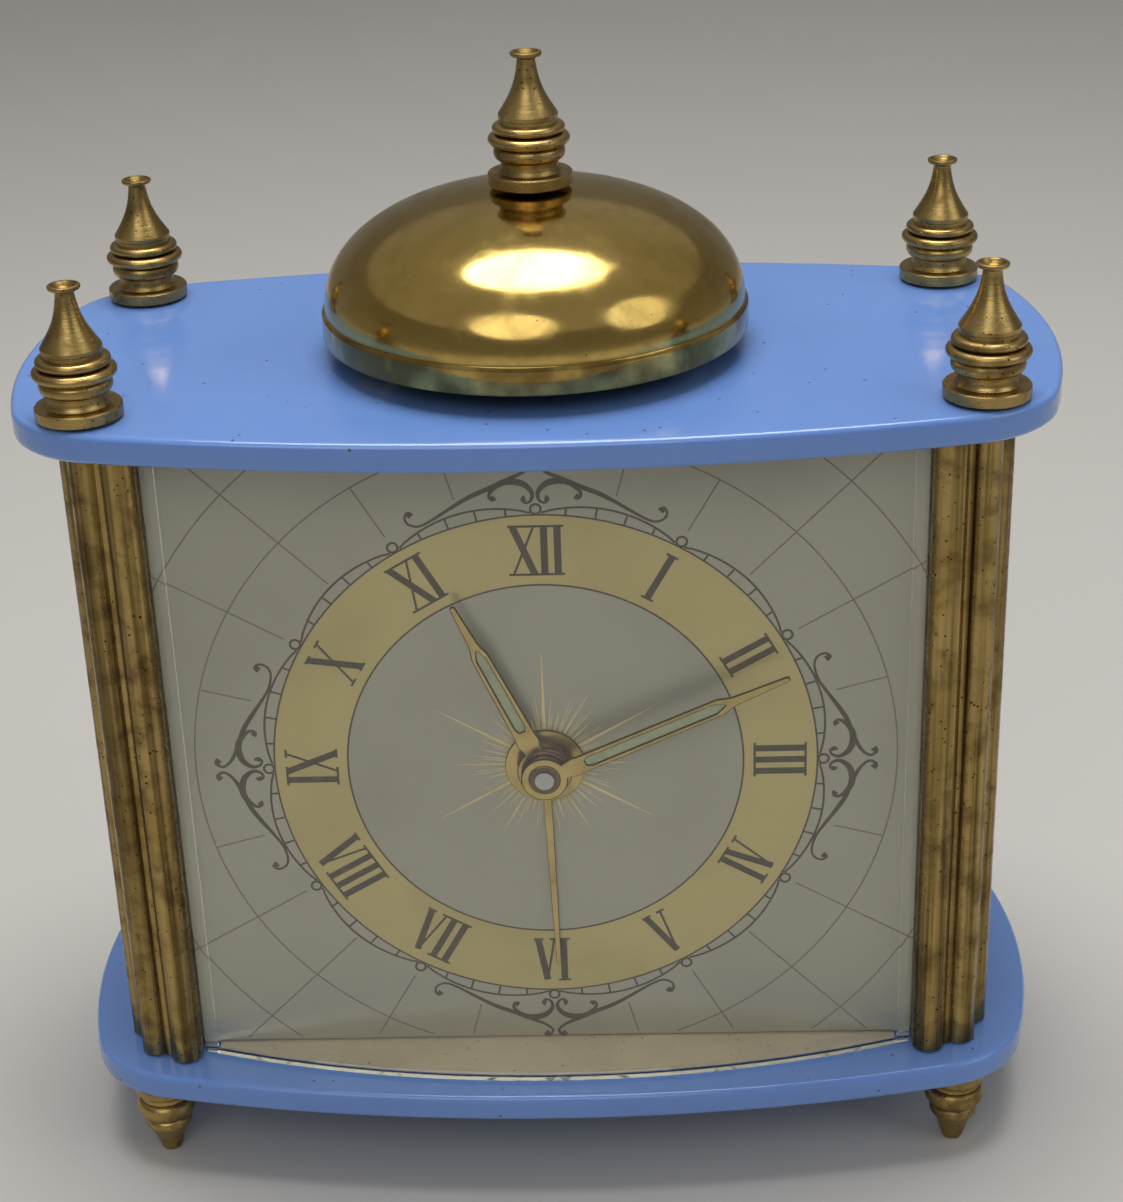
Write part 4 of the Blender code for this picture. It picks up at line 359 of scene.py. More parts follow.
dust, gin, gout = new_group("dust", "Mask", Scale=700.0, Cover=0.16)
grains = add_node(dust, "ShaderNodeTexVoronoi", {}, {"Vector": on_piece(dust), "Scale": gin.outputs["Scale"]})
chance = add_node(dust, "ShaderNodeSeparateColor", {}, {0: grains.outputs["Color"]})
few = ramped(dust, chance.outputs[0], FEW_FROM, FEW_TO)
inside = maths(dust, "SUBTRACT", gin.outputs["Cover"], grains.outputs["Distance"])
dust.links.new(maths(dust, "MULTIPLY", ramped(dust, inside, 0.0, GRAIN_EDGE), few), gout.inputs["Mask"])
print("groups", [group.name for group in (pits, patina, dust)])

# %% [markdown]
# Some marks have a direction. A tool leaves rings round an upright turned piece, so its noise changes with
# height and hardly at all sideways. The posts take darker streaks drawn out upwards, painted reflection that
# stands in for the streaky shine of their reeds. Tarnish gathers below a level on the bell, and a stamped
# hand gets painted shade where its rim slants away from its flat face.

# %% Tool marks, painted reflection streaks, low tarnish and painted rim shade
RING_SQUEEZE = (0.004, 0.004, 1.0)
STREAK_STRETCH = (1.0, 1.0, 0.012)
STREAK_FROM, STREAK_TO = 0.38, 0.66
TARNISH_SCALE = 160.0
TARNISH_FROM, TARNISH_TO = 0.30, 0.56
TARNISH_EDGE = 0.4 * MM
RIM_FROM, RIM_TO = 0.995, 0.90

tool_marks, gin, gout = new_group("tool_marks", "Height", Pitch=9000.0)
place = on_piece(tool_marks)
squeezed = add_node(tool_marks, "ShaderNodeMapping", {"Scale": RING_SQUEEZE}, {"Vector": place})
rings = noise(tool_marks, squeezed.outputs[0], gin.outputs["Pitch"], 3.0)
tool_marks.links.new(rings, gout.inputs["Height"])

# Painted reflection: dark streaks drawn out upwards on the posts, standing in for the reeds' streaky shine.
painted_reflection_streaks, gin, gout = new_group("painted_reflection_streaks", "Mask", Scale=1500.0, Amount=0.5)
drawn_up = add_node(painted_reflection_streaks, "ShaderNodeMapping", {"Scale": STREAK_STRETCH}, {"Vector": on_piece(painted_reflection_streaks)})
lines = noise(painted_reflection_streaks, drawn_up.outputs[0], gin.outputs["Scale"], 5.0, Roughness=0.6)
faded = ramped(painted_reflection_streaks, lines, STREAK_FROM, STREAK_TO)
painted_reflection_streaks.links.new(maths(painted_reflection_streaks, "MULTIPLY", faded, gin.outputs["Amount"]), gout.inputs["Mask"])

low_tarnish, gin, gout = new_group("low_tarnish", "Mask", Level=0.0, Amount=0.7)
place = on_piece(low_tarnish)
height = add_node(low_tarnish, "ShaderNodeSeparateXYZ", {}, {0: place}).outputs[2]
depth = maths(low_tarnish, "SUBTRACT", gin.outputs["Level"], height)
below = ramped(low_tarnish, depth, -TARNISH_EDGE, TARNISH_EDGE)
cloud = ramped(low_tarnish, noise(low_tarnish, place, TARNISH_SCALE, 6.0), TARNISH_FROM, TARNISH_TO)
banded = maths(low_tarnish, "MULTIPLY", below, cloud)
low_tarnish.links.new(maths(low_tarnish, "MULTIPLY", banded, gin.outputs["Amount"]), gout.inputs["Mask"])

# Painted shade: the colour darkens where a hand's rim slants away from its flat face.
painted_rim_shade, gin, gout = new_group("painted_rim_shade", "Mask", Amount=1.0)
facing = add_node(painted_rim_shade, "ShaderNodeNewGeometry").outputs["Normal"]
forward = add_node(painted_rim_shade, "ShaderNodeSeparateXYZ", {}, {0: facing}).outputs[1]
slanted = ramped(painted_rim_shade, maths(painted_rim_shade, "ABSOLUTE", forward), RIM_FROM, RIM_TO)
painted_rim_shade.links.new(maths(painted_rim_shade, "MULTIPLY", slanted, gin.outputs["Amount"]), gout.inputs["Mask"])
print("groups", [group.name for group in (tool_marks, painted_reflection_streaks, low_tarnish, painted_rim_shade)])

# %% [markdown]
# ## Finishes
# A finish is one Principled surface fed by the effects above. Plain values sit on the shader's own
# sockets, and only what changes over the surface, such as colour, roughness and relief, comes through
# nodes.

# %% Finish helper


def finish(name, roughness, metallic=0.0, **plain):
    """An empty finish with its shader, ready for masks."""
    made = bpy.data.materials.new(name)
    made.use_nodes = True
    shader = made.node_tree.nodes["Principled BSDF"]
    shader.inputs["Roughness"].default_value = roughness
    shader.inputs["Metallic"].default_value = metallic
    for key, value in plain.items():
        shader.inputs[key.replace("_", " ")].default_value = value
    return made, made.node_tree, shader


def effect(tree, group, **values):
    """Place a shared effect with its own values."""
    made = tree.nodes.new("ShaderNodeGroup")
    made.node_tree = group
    for key, value in values.items():
        made.inputs[key].default_value = value
    return made.outputs[0]


def relief(tree, shader, height, distance):
    """Feed a height through a Bump node into the shader's normal."""
    bump = add_node(tree, "ShaderNodeBump", {"Strength": 1.0, "Distance": distance}, {"Height": height})
    tree.links.new(bump.outputs[0], shader.inputs["Normal"])


def feed(tree, shader, socket, source):
    """Join a source to one of the shader's sockets."""
    tree.links.new(source, shader.inputs[socket])


def spread(tree, mask, low, high):
    """A value that runs from low where a mask is 0 to high where it is 1."""
    made = add_node(tree, "ShaderNodeMapRange", {3: low, 4: high}, {0: mask})
    return made.outputs[0]


def stained(tree, shader, scale, amount, clean, dirty, dulling=None, specks=None):
    """Drift between two colours, and two roughnesses where given, under specks of dust where asked."""
    stain = effect(tree, patina, Scale=scale, Amount=amount)
    colour = mixed(tree, stain, clean, dirty)
    if specks:
        size, cover, tint = specks
        colour = mixed(tree, effect(tree, dust, Scale=size, Cover=cover), colour, tint)
    feed(tree, shader, "Base Color", colour)
    if dulling:
        feed(tree, shader, "Roughness", spread(tree, stain, *dulling))
    return stain


def grained(tree, shader, scale, detail, depth):
    """A fine even grain that stands out of the surface."""
    relief(tree, shader, noise(tree, on_piece(tree), scale, detail), depth)


print("finish helpers ready")

# %% [markdown]
# Seven finishes are brass of different age. Each could be drawn on its own, but old brass always holds
# the same things: a drift between a bright and a dull tone, stains, dark pits and the marks of its tool.
# So one recipe takes the colours and the strengths, and the bell, the posts and the hands lay one more
# effect over it: tarnish on the bell, painted reflection streaks on the posts and painted shade on the
# hands' rims.

# %% Brass finishes
PIT_SHADE = 0.35
OVER_SHADE = 0.6
STAIN_DULLS = 0.4
PIT_SINKS = -0.6


def brass(
    name, bright, dull, dark, roughness, pit_scale, pit_cover, patina_amount, marks, mark_depth, over=None,
):
    """Brass with drifting colour, dark pits, patina and marks of the tool, and one more effect over them."""
    made, tree, shader = finish(name, roughness, 1.0)
    drift = effect(tree, patina, Scale=55.0, Amount=1.0)
    stain = effect(tree, patina, Scale=240.0, Amount=patina_amount)
    pit = effect(tree, pits, Scale=pit_scale, Cover=pit_cover)
    colour = mixed(tree, drift, bright, dull)
    colour = mixed(tree, stain, colour, dark)
    colour = mixed(tree, pit, colour, tuple(PIT_SHADE * c for c in dark))
    if over:
        # The extra effect darkens the colour: tarnish on the bell, painted reflection streaks on the posts
        # and painted shade on the hands' rims.
        colour = mixed(tree, effect(tree, over[0], **over[1]), colour, tuple(OVER_SHADE * c for c in dark))
    feed(tree, shader, "Base Color", colour)
    rough = maths(tree, "MAXIMUM", stain, pit)
    feed(tree, shader, "Roughness", spread(tree, rough, roughness, min(1.0, roughness + STAIN_DULLS)))
    sunk = maths(tree, "MULTIPLY_ADD", pit, PIT_SINKS, effect(tree, tool_marks, Pitch=marks))
    relief(tree, shader, sunk, mark_depth)
    return made


turned_brass = brass(
    "turned_brass", (0.44, 0.31, 0.115), (0.31, 0.21, 0.07), (0.09, 0.055, 0.02),
    0.25, 1500.0, 0.34, 0.75, 14000.0, 0.00003,
)
# The posts get painted reflection streaks over their brass.
post_brass = brass(
    "post_brass", (0.43, 0.305, 0.11), (0.30, 0.205, 0.065), (0.085, 0.05, 0.018),
    0.24, 1100.0, 0.30, 0.65, 60.0, 0.000012, (painted_reflection_streaks, {"Scale": 900.0, "Amount": 0.8}),
)
BELL_BAND = 3.1 * MM
bell_brass = brass(
    "bell_brass", (0.62, 0.44, 0.135), (0.52, 0.355, 0.095), (0.20, 0.12, 0.035),
    0.12, 1300.0, 0.20, 0.30, 2500.0, 0.000003,
    (low_tarnish, {"Level": bell_low.z + BELL_BAND, "Amount": 0.8}),
)
key_brass = brass(
    "key_brass", (0.52, 0.39, 0.16), (0.42, 0.30, 0.11), (0.14, 0.09, 0.03),
    0.32, 1400.0, 0.30, 0.45, 4000.0, 0.00001,
)
movement_brass = brass(
    "movement_brass", (0.58, 0.44, 0.17), (0.52, 0.38, 0.13), (0.25, 0.17, 0.06),
    0.30, 1200.0, 0.15, 0.20, 4000.0, 0.00001,
)
# The hands get painted shade on their slanted rims.
hand_gilt = brass(
    "hand_gilt", (0.60, 0.46, 0.17), (0.50, 0.37, 0.12), (0.12, 0.08, 0.03),
    0.28, 1800.0, 0.18, 0.30, 9000.0, 0.000002, (painted_rim_shade, {"Amount": 1.0}),
)
pipe_brass = brass(
    "pipe_brass", (0.15, 0.11, 0.07), (0.10, 0.075, 0.05), (0.04, 0.03, 0.02),
    0.30, 2500.0, 0.20, 0.5, 9000.0, 0.000004,
)
print("brasses", turned_brass.name, post_brass.name, bell_brass.name, key_brass.name)

# %% [markdown]
# The plates are dyed plastic, glossy and slightly see-through at their rims, so light is let a little way
# in under a clear coat. The case is a duller cream one with a fine moulded grain. Steel and lacquer are
# the small parts.

# %% Blue plates, cream case, steel and lacquer
blue_plastic, tree, shader = finish("blue_plastic", 0.16, IOR=1.49, Coat_Weight=0.35, Coat_Roughness=0.06)
fluff = (520.0, 0.12, (0.10, 0.10, 0.11))
stained(tree, shader, 25.0, 1.0, (0.15, 0.285, 0.665), (0.14, 0.265, 0.625), specks=fluff)
feed(tree, shader, "Roughness", spread(tree, effect(tree, patina, Scale=90.0, Amount=0.6), 0.13, 0.24))
shader.inputs["Subsurface Weight"].default_value = 0.25
shader.inputs["Subsurface Radius"].default_value = (0.6, 0.9, 1.6)
shader.inputs["Subsurface Scale"].default_value = 1.2 * MM

cream_case, tree, shader = finish("cream_case", 0.5, IOR=1.49)
dirt = (900.0, 0.14, (0.17, 0.13, 0.08))
stained(tree, shader, 70.0, 0.7, (0.55, 0.475, 0.325), (0.45, 0.38, 0.245), (0.38, 0.6), dirt)
grained(tree, shader, 2600.0, 3.0, 0.00002)

steel, tree, shader = finish("steel", 0.3, 1.0)
stained(tree, shader, 300.0, 0.6, (0.48, 0.48, 0.49), (0.26, 0.22, 0.18), (0.24, 0.55))
relief(tree, shader, effect(tree, tool_marks, Pitch=9000.0), 0.00001)

spring_steel, tree, shader = finish("spring_steel", 0.28, 1.0)
stained(tree, shader, 200.0, 1.0, (0.16, 0.18, 0.27), (0.26, 0.22, 0.24), (0.22, 0.4))

black_lacquer, tree, shader = finish("black_lacquer", 0.35, IOR=1.5)
speck = effect(tree, dust, Scale=900.0, Cover=0.12)
feed(tree, shader, "Base Color", mixed(tree, speck, (0.022, 0.021, 0.02), (0.10, 0.09, 0.08)))
feed(tree, shader, "Roughness", spread(tree, effect(tree, patina, Scale=220.0, Amount=1.0), 0.28, 0.5))
print("finishes so far", len(bpy.data.materials))

# %% [markdown]
# The dial is lacquered silver that has warmed with age, under a ring of dull gold. Ink is nearly black
# in the numerals and a lighter brown in the hairlines, and the paint in the hands has turned chalky green.

# %% Dial, gold ring, print and luminous paint
dial_silver, tree, shader = finish("dial_silver", 0.42, 0.55)
age = (420.0, 0.05, (0.20, 0.17, 0.12))
stained(tree, shader, 40.0, 0.8, (0.425, 0.42, 0.345), (0.39, 0.383, 0.31), (0.40, 0.50), age)
grained(tree, shader, 5200.0, 2.0, 0.000006)

ring_gold, tree, shader = finish("ring_gold", 0.38, 0.6)
stained(tree, shader, 60.0, 0.8, (0.56, 0.475, 0.215), (0.50, 0.42, 0.18), (0.34, 0.45))

print_ink, tree, shader = finish("print_ink", 0.5)
stained(tree, shader, 900.0, 1.0, (0.050, 0.042, 0.022), (0.085, 0.070, 0.040))

line_ink, tree, shader = finish("line_ink", 0.5)
stained(tree, shader, 900.0, 1.0, (0.16, 0.145, 0.11), (0.21, 0.19, 0.15))

ray_gold, tree, shader = finish("ray_gold", 0.5, 0.2)
stained(tree, shader, 500.0, 1.0, (0.80, 0.68, 0.36), (0.66, 0.52, 0.24))

lume, tree, shader = finish("lume", 0.75)
stain = stained(tree, shader, 700.0, 0.8, (0.36, 0.42, 0.28), (0.29, 0.32, 0.20))
relief(tree, shader, stain, 0.00004)
print("dial finishes", dial_silver.name, ring_gold.name, print_ink.name, line_ink.name, ray_gold.name)

# %% [markdown]
# The window is clear plastic. Glass in a path tracer stops the lamps behind it, so its shadow rays pass
# through a transparent shader, which lets the dial be lit as it is in the room.

# %% Clear window
lens_clear, tree, shader = finish("lens_clear", 0.03, IOR=1.49, Transmission_Weight=1.0)
shader.inputs["Base Color"].default_value = (0.97, 0.97, 0.95, 1.0)
stain = effect(tree, patina, Scale=120.0, Amount=1.0)
feed(tree, shader, "Roughness", spread(tree, stain, 0.0, 0.02))
through = add_node(tree, "ShaderNodeBsdfTransparent", {"Color": (0.96, 0.96, 0.94, 1.0)})
path = tree.nodes.new("ShaderNodeLightPath")
shadow = path.outputs["Is Shadow Ray"]
either = add_node(tree, "ShaderNodeMixShader", {}, {0: shadow, 1: shader.outputs[0], 2: through.outputs[0]})
tree.links.new(either.outputs[0], tree.nodes["Material Output"].inputs["Surface"])
print("finishes", len(bpy.data.materials))

# %% [markdown]
# ## Sheets cut to an outline
# Posts, hands and the print are cut or printed to a flat outline. An outline could be built face by face,
# but a flat curve fills itself, keeps its holes and turns into a clean mesh, so it is drawn as a curve
# first.

# %% Outlines and sheets


def polar(radius, degrees, centre=(0.0, 0.0)):
    """A point at a clock angle: 0 degrees is up, and angles grow clockwise."""
    angle = math.radians(degrees)
    return (centre[0] + radius * math.sin(angle), centre[1] + radius * math.cos(angle))


def arc(centre, radius, start, end, steps):
    """Points on an arc between two angles counted anticlockwise from +x, both ends included."""
    made = []
    for i in range(steps + 1):
        angle = start + (end - start) * i / steps
        made.append((centre[0] + radius * math.cos(angle), centre[1] + radius * math.sin(angle)))
    return made


def circle(radius, points, centre=(0.0, 0.0)):
    """Points round a full circle, without the first one again at its end."""
    return arc(centre, radius, 0.0, TAU * (points - 1) / points, points - 1)


STANDING = Matrix.Rotation(math.radians(90), 4, "X")


def meshed(curve, name, *moves):
    """Turn a curve into a mesh piece, and move it within that mesh, one move after another."""
    piece = bpy.data.objects.new(name, curve)
    bpy.context.scene.collection.objects.link(piece)
    choose(piece)
    bpy.ops.object.convert(target="MESH")
    piece = bpy.context.object
    for move in moves:
        piece.data.transform(move)
    piece.name = name
    piece.data.name = name
    return piece


def sheet(name, loops, low, high, edge=0.0, upright=False, angle=GENTLE_ANGLE):
    """A solid cut to outlines between two heights, lying flat or standing up in the dial's plane."""
    nothing_selected()
    curve = bpy.data.curves.new(name, "CURVE")
    curve.dimensions = "2D"
    curve.fill_mode = "BOTH"
    curve.extrude = (high - low) / 2 - edge
    curve.bevel_depth = edge
    curve.bevel_resolution = 2
    curve.offset = -edge
    for loop in loops:
        spline = curve.splines.new("POLY")
        spline.points.add(len(loop) - 1)
        for point, spot in zip(spline.points, loop):
            point.co = (spot[0], spot[1], 0.0, 1.0)
        spline.use_cyclic_u = True
    moves = [Matrix.Translation((0.0, 0.0, (low + high) / 2))]
    if upright:
        moves.append(Matrix.Translation((0.0, 0.0, HUB_Z)) @ STANDING)
    piece = settle(meshed(curve, name, *moves), angle)
    if edge:
        modified(piece, "WEIGHTED_NORMAL", keep_sharp=True, weight=100)
    return piece


print("outlines ready")

# %% [markdown]
# ## Printed dial
# A real dial is a thin sheet printed in three passes: the gold ring, then the fine lines, then the dark
# numerals and ornament. The ink lies so thin that only its edge and its dullness show. A picture would do
# from the front only, so each stroke is drawn as a line of points with its own width, swept round and
# pressed flat, which lets strokes taper and cross as a pen's do.

# %% Stroke helpers
DIAL_H = -DIAL_Y
RING_IN = 21.5
RING_OUT = 29.5
RING_SUNK = 0.05
RING_LIFT = 0.004
RAY_LIFT = 0.002
HAIR_LIFT = 0.003
INK_LIFT = 0.008
SCROLL_LIFT = 0.01
PRESSED = 0.05
PRINT_ANGLE = 80.0


def strokes(name, lines, finish, lift):
    """Printed strokes from lists of (x, y, half width) in millimetres, pressed flat onto the dial."""
    nothing_selected()
    curve = bpy.data.curves.new(name, "CURVE")
    curve.dimensions = "3D"
    curve.twist_mode = "Z_UP"
    curve.bevel_depth = MM
    curve.bevel_resolution = 0
    curve.use_fill_caps = True
    for line in lines:
        closed = line[0] == line[-1]
        drawn = line[:-1] if closed else line
        spline = curve.splines.new("POLY")
        spline.points.add(len(drawn) - 1)
        spline.use_cyclic_u = closed
        for point, (x, y, half) in zip(spline.points, drawn):
            point.co = (x * MM, y * MM, 0.0, 1.0)
            point.radius = half
    flat = Matrix.Diagonal((1.0, 1.0, PRESSED, 1.0))
    onto_dial = Matrix.Translation((0.0, -DIAL_H - lift * MM, HUB_Z)) @ STANDING
    return dressed(settle(meshed(curve, name, flat, onto_dial), PRINT_ANGLE), "clock", finish)


def ring_line(radius, half, points=144, centre=(0.0, 0.0)):
    """A closed printed circle."""
    made = [(*polar(radius, 360 * i / points, centre), half) for i in range(points)]
    return made + made[:1]


def flowing(points, half_at, steps=6):
    """A smooth run through points, with a half width given along its length."""
    made = []
    ends = [points[0], *points, points[-1]]
    runs = len(points) - 1
    for i in range(runs):
        a, b, c, d = ends[i : i + 4]
        for j in range(steps + (i == runs - 1)):
            t = j / steps
            spot = [
                0.5 * (2 * b[k] + (c[k] - a[k]) * t + (2 * a[k] - 5 * b[k] + 4 * c[k] - d[k]) * t**2
                       + (3 * b[k] - a[k] - 3 * c[k] + d[k]) * t**3)
                for k in (0, 1)
            ]
            made.append((*spot, half_at((i + t) / runs)))
    return made


print("pen ready")

# %% [markdown]
# The numerals are drawn, not set in a typeface: a thick stem, a thin one, and serifs across their ends.
# From IV round to VIII they stand upright for the reader, and the others keep their feet to the hub.

# %% Ring and numerals
annulus = [circle(RING_OUT * MM, 180), circle(RING_IN * MM, 180)]
ring = sheet("dial_ring", annulus, DIAL_H - RING_SUNK * MM, DIAL_H + RING_LIFT * MM, upright=True)
dressed(ring, "clock", ring_gold)
FOOT_R = 22.7
TALL = 5.5
ADVANCE = {"I": 1.4, "V": 2.5, "X": 2.9}
THICK = 0.38
THIN = 0.13
STEM_INSET = 0.34
SERIF = 0.5
LONG_SERIF = 0.6
V_POINT = 0.05
BAR_INSET = 0.1
RING_EDGE = 0.1
NUMERALS = ("XII", "I", "II", "III", "IV", "V", "VI", "VII", "VIII", "IX", "X", "XI")


def letter_lines(letter, u, wide):
    """Stems and serifs of one letter that starts at u, as (u0, v0, u1, v1, half width)."""
    middle_u = u + wide / 2
    near, far = u + STEM_INSET, u + wide - STEM_INSET
    if letter == "I":
        bars = [(u, v, u + wide, v, THIN) for v in (0.0, TALL)]
        return [(middle_u, 0.0, middle_u, TALL, THICK), *bars]
    tops = [(near - SERIF, TALL, near + LONG_SERIF, TALL, THIN), (far - SERIF, TALL, far + SERIF, TALL, THIN)]
    if letter == "V":
        return tops + [(near, TALL, middle_u, V_POINT, THICK), (far, TALL, middle_u, V_POINT, THIN)]
    feet = [(near - SERIF, 0.0, near + SERIF, 0.0, THIN), (far - LONG_SERIF, 0.0, far + SERIF, 0.0, THIN)]
    return tops + feet + [(near, TALL, far, 0.0, THICK), (far, TALL, near, 0.0, THIN)]


def numeral_lines(hour):
    """Strokes of one numeral; from IV round to VIII they stand upright, with their feet outwards."""
    text = NUMERALS[hour % 12]
    upside = 4 <= hour <= 8
    angle = math.radians(30 * hour)
    out = Vector((math.sin(angle), math.cos(angle)))
    across = Vector((math.cos(angle), -math.sin(angle))) * (-1 if upside else 1)
    half_wide = sum(ADVANCE[letter] for letter in text) / 2
    u = -half_wide
    made = []
    for letter in text:
        for u0, v0, u1, v1, half in letter_lines(letter, u, ADVANCE[letter]):
            ends = []
            for uu, vv in ((u0, v0), (u1, v1)):
                reach = FOOT_R + TALL - vv if upside else FOOT_R + vv
                spot = out * reach + across * uu
                ends.append((spot.x, spot.y, half))
            made.append(ends)
        u += ADVANCE[letter]
    if text in ("XI", "XII"):
        for v in (0.0, TALL):
            first = out * (FOOT_R + v) - across * (half_wide - BAR_INSET)
            last = first + across * ADVANCE["X"]
            made.append([(first.x, first.y, THIN), (last.x, last.y, THIN)])
    return made


numerals = [line for hour in range(1, 13) for line in numeral_lines(hour)]
numerals += [ring_line(RING_IN, RING_EDGE), ring_line(RING_OUT, RING_EDGE)]
strokes("dial_numerals", numerals, print_ink, INK_LIFT)
print("numeral strokes", len(numerals))

# %% [markdown]
# Round the ring runs a scalloped line that swells between the hours, with a small circle at each hour and
# short ticks for the minutes. One function gives the line's reach, so that each tick ends exactly on it.

# %% Minute track and hour circles
HOUR_DOT_AT = 30.15
HOUR_DOT_R = 0.55
INK_LINE = 0.13
TRACK_LINE = 0.12
TICK_LINE = 0.11
SCALLOP_R = 29.72
SCALLOP_RISE = 1.1
SCALLOP_START = 1.1
SCALLOP_SPAN = 27.8
SCALLOP_STEPS = 16


def scallop(share):
    """How far from the hub the scalloped line runs, at a share of the way along one scallop."""
    return SCALLOP_R + SCALLOP_RISE * math.sin(math.pi * share) ** 0.8


track = []
for hour in range(12):
    track.append(ring_line(HOUR_DOT_R, INK_LINE, 20, polar(HOUR_DOT_AT, 30 * hour)))
    swell = []
    for i in range(SCALLOP_STEPS + 1):
        share = i / SCALLOP_STEPS
        swell.append((*polar(scallop(share), 30 * hour + SCALLOP_START + SCALLOP_SPAN * share), TRACK_LINE))
    track.append(swell)
    for tick in range(1, 5):
        at = 30 * hour + 6 * tick
        share = (6 * tick - SCALLOP_START) / SCALLOP_SPAN
        track.append([(*polar(RING_OUT, at), TICK_LINE), (*polar(scallop(share), at), TICK_LINE)])
strokes("dial_track", track, print_ink, INK_LIFT)
print("track strokes", len(track))

# %% [markdown]
# Each quarter carries a pair of mirrored scrolls. A scroll is a pen stroke, so its middle line is a
# smooth run through a few points, and its width is a rule: a ball at each end, a hair between, and a
# swell on its back.

# %% Scrolls at the four quarters
SIDE_SWEEP = [
    (30.2, 12.1), (30.6, 12.45), (30.1, 12.8), (29.3, 12.4), (29.01, 11.42), (29.4, 9.83), (30.32, 8.3),
    (31.52, 6.57), (32.57, 4.83), (33.28, 2.9), (34.16, 1.14), (35.11, 0.35), (35.8, 0.75), (35.5, 1.25),
]
TOP_SWEEP = [
    (29.6, 12.9), (29.9, 13.3), (29.4, 13.6), (28.75, 13.3), (28.45, 12.5), (28.65, 11.68), (29.39, 10.39),
    (30.85, 8.15), (31.76, 6.56), (32.6, 4.64), (33.5, 2.8), (34.3, 1.14), (35.11, 0.35), (35.7, 0.75),
    (35.4, 1.2),
]
CURL = [
    (31.55, 4.15), (31.35, 4.5), (31.75, 4.75), (32.41, 4.38), (33.1, 3.48), (33.29, 2.32), (32.91, 1.06),
    (31.98, 0.3), (31.13, 0.45), (30.85, 1.0), (31.25, 1.3), (31.4, 1.0),
]
BALL = 0.24


def bump(share, at, wide):
    """A soft bump of height 1 round a share of the way."""
    return math.exp(-(((share - at) / wide) ** 2))


def pen(hair, back, at, wide, tip):
    """A rule for the half width along a scroll, from its hair line, its swell and its balls' length."""

    def half_at(share):
        """Half width at a share of the way."""
        return hair + BALL * max(bump(share, 0.0, tip), bump(share, 1.0, tip)) + back * bump(share, at, wide)

    return half_at


sweep_pen = pen(0.13, 0.14, 0.62, 0.16, 0.08)
curl_pen = pen(0.12, 0.26, 0.45, 0.2, 0.1)
scrolls = []
for quarter in range(4):
    sweep = TOP_SWEEP if quarter % 2 else SIDE_SWEEP
    for line in (flowing(sweep, sweep_pen), flowing(CURL, curl_pen)):
        for mirror in (1, -1):
            turned_line = [(x, mirror * y, w) for x, y, w in line]
            for _ in range(quarter):
                turned_line = [(-y, x, w) for x, y, w in turned_line]
            scrolls.append(turned_line)
strokes("dial_scrolls", scrolls, print_ink, SCROLL_LIFT)
print("scrolls", len(scrolls))

# %% [markdown]
# A web of hairlines spreads behind the ring, cut off at the sheet's edges. Drawing them long and hiding
# the ends would leave them hanging past the dial, so only the runs that lie on it are kept.

# %% Hairlines out to the dial's edges
MARGIN = 0.3
EDGE_X = dial_high.x / MM - MARGIN
EDGE_TOP = (dial_high.z - HUB_Z) / MM - MARGIN
EDGE_FOOT = (dial_low.z - HUB_Z) / MM + MARGIN
HAIR = 0.085
WEB_RINGS = (38.1, 46.0)
SPOKE_STEP = 0.25
SHORT_SPOKES = (15, 30, 75, 105, 165, 195, 255, 285, 330, 345)
SHORT_END, LONG_END = 38.0, 60.0


def kept_runs(points):
    """The runs of a line that lie on the dial."""
    runs = [[]]
    for x, y in points:
        if abs(x) < EDGE_X and EDGE_FOOT < y < EDGE_TOP:
            runs[-1].append((x, y, HAIR))
        elif runs[-1]:
            runs.append([])
    return [run for run in runs if len(run) > 1]


hairs = []
for radius in WEB_RINGS:
    hairs += kept_runs([polar(radius, 0.5 * i) for i in range(721)])
for half_hour in range(24):
    at = 15 * half_hour
    if at % 90 == 0:
        continue
    start = 31.5 if at % 30 == 0 else 31.3 if at % 45 == 0 else 32.5
    end = SHORT_END if at in SHORT_SPOKES else LONG_END
    steps = int((end - start) / SPOKE_STEP)
    hairs += kept_runs([polar(start + (end - start) * i / steps, at) for i in range(steps + 1)])
strokes("dial_hairlines", hairs, line_ink, HAIR_LIFT)
print("hairlines", len(hairs))

# %% [markdown]
# Gold rays burst from the hub. Even rays would look like a gear, so their turn and reach sway with two
# sine waves, every twelfth is long, and each one tapers to a point.

# %% Rays round the hub
RAY_START = 4.2
RAY_TIP = 0.02
rays = []
for i in range(72):
    at = 5 * i + 1.3 * math.sin(2.1 * i)
    long = i % 12 == 0
    reach = 13.5 if long else 9.6 if i % 6 == 0 else 7.2 + 1.2 * math.sin(1.7 * i + 0.6)
    wide = 0.2 if long else 0.13 if i % 3 == 0 else 0.07
    halfway = (*polar(0.5 * (reach + RAY_START), at), 0.6 * wide)
    rays.append([(*polar(RAY_START, at), wide), halfway, (*polar(reach, at), RAY_TIP)])
strokes("dial_rays", rays, ray_gold, RAY_LIFT)
print("rays", len(rays))

# %% [markdown]
# ## Blue plates
# The clock's roof and floor are thick glossy plates with four bowed sides. A scaled cube would be a
# brick, and a bevel can't run over the short faces of a bow, so the outline is drawn as four shallow arcs
# with a round corner between each pair, and the rims are rounded as the sheet is made.

# %% Draw and round the plates
FRONT_BOW = 210 * MM
SIDE_BOW = 62 * MM
CORNER_ROUND = 12 * MM
RIM_ROUND = 0.7 * MM
RIM_ANGLE = 40.0
PLATE_INSIDE = 0.002 * MM
HAMMER_SLOT = (18.6 * MM, 5.0 * MM, 3.6 * MM, 1.6 * MM)


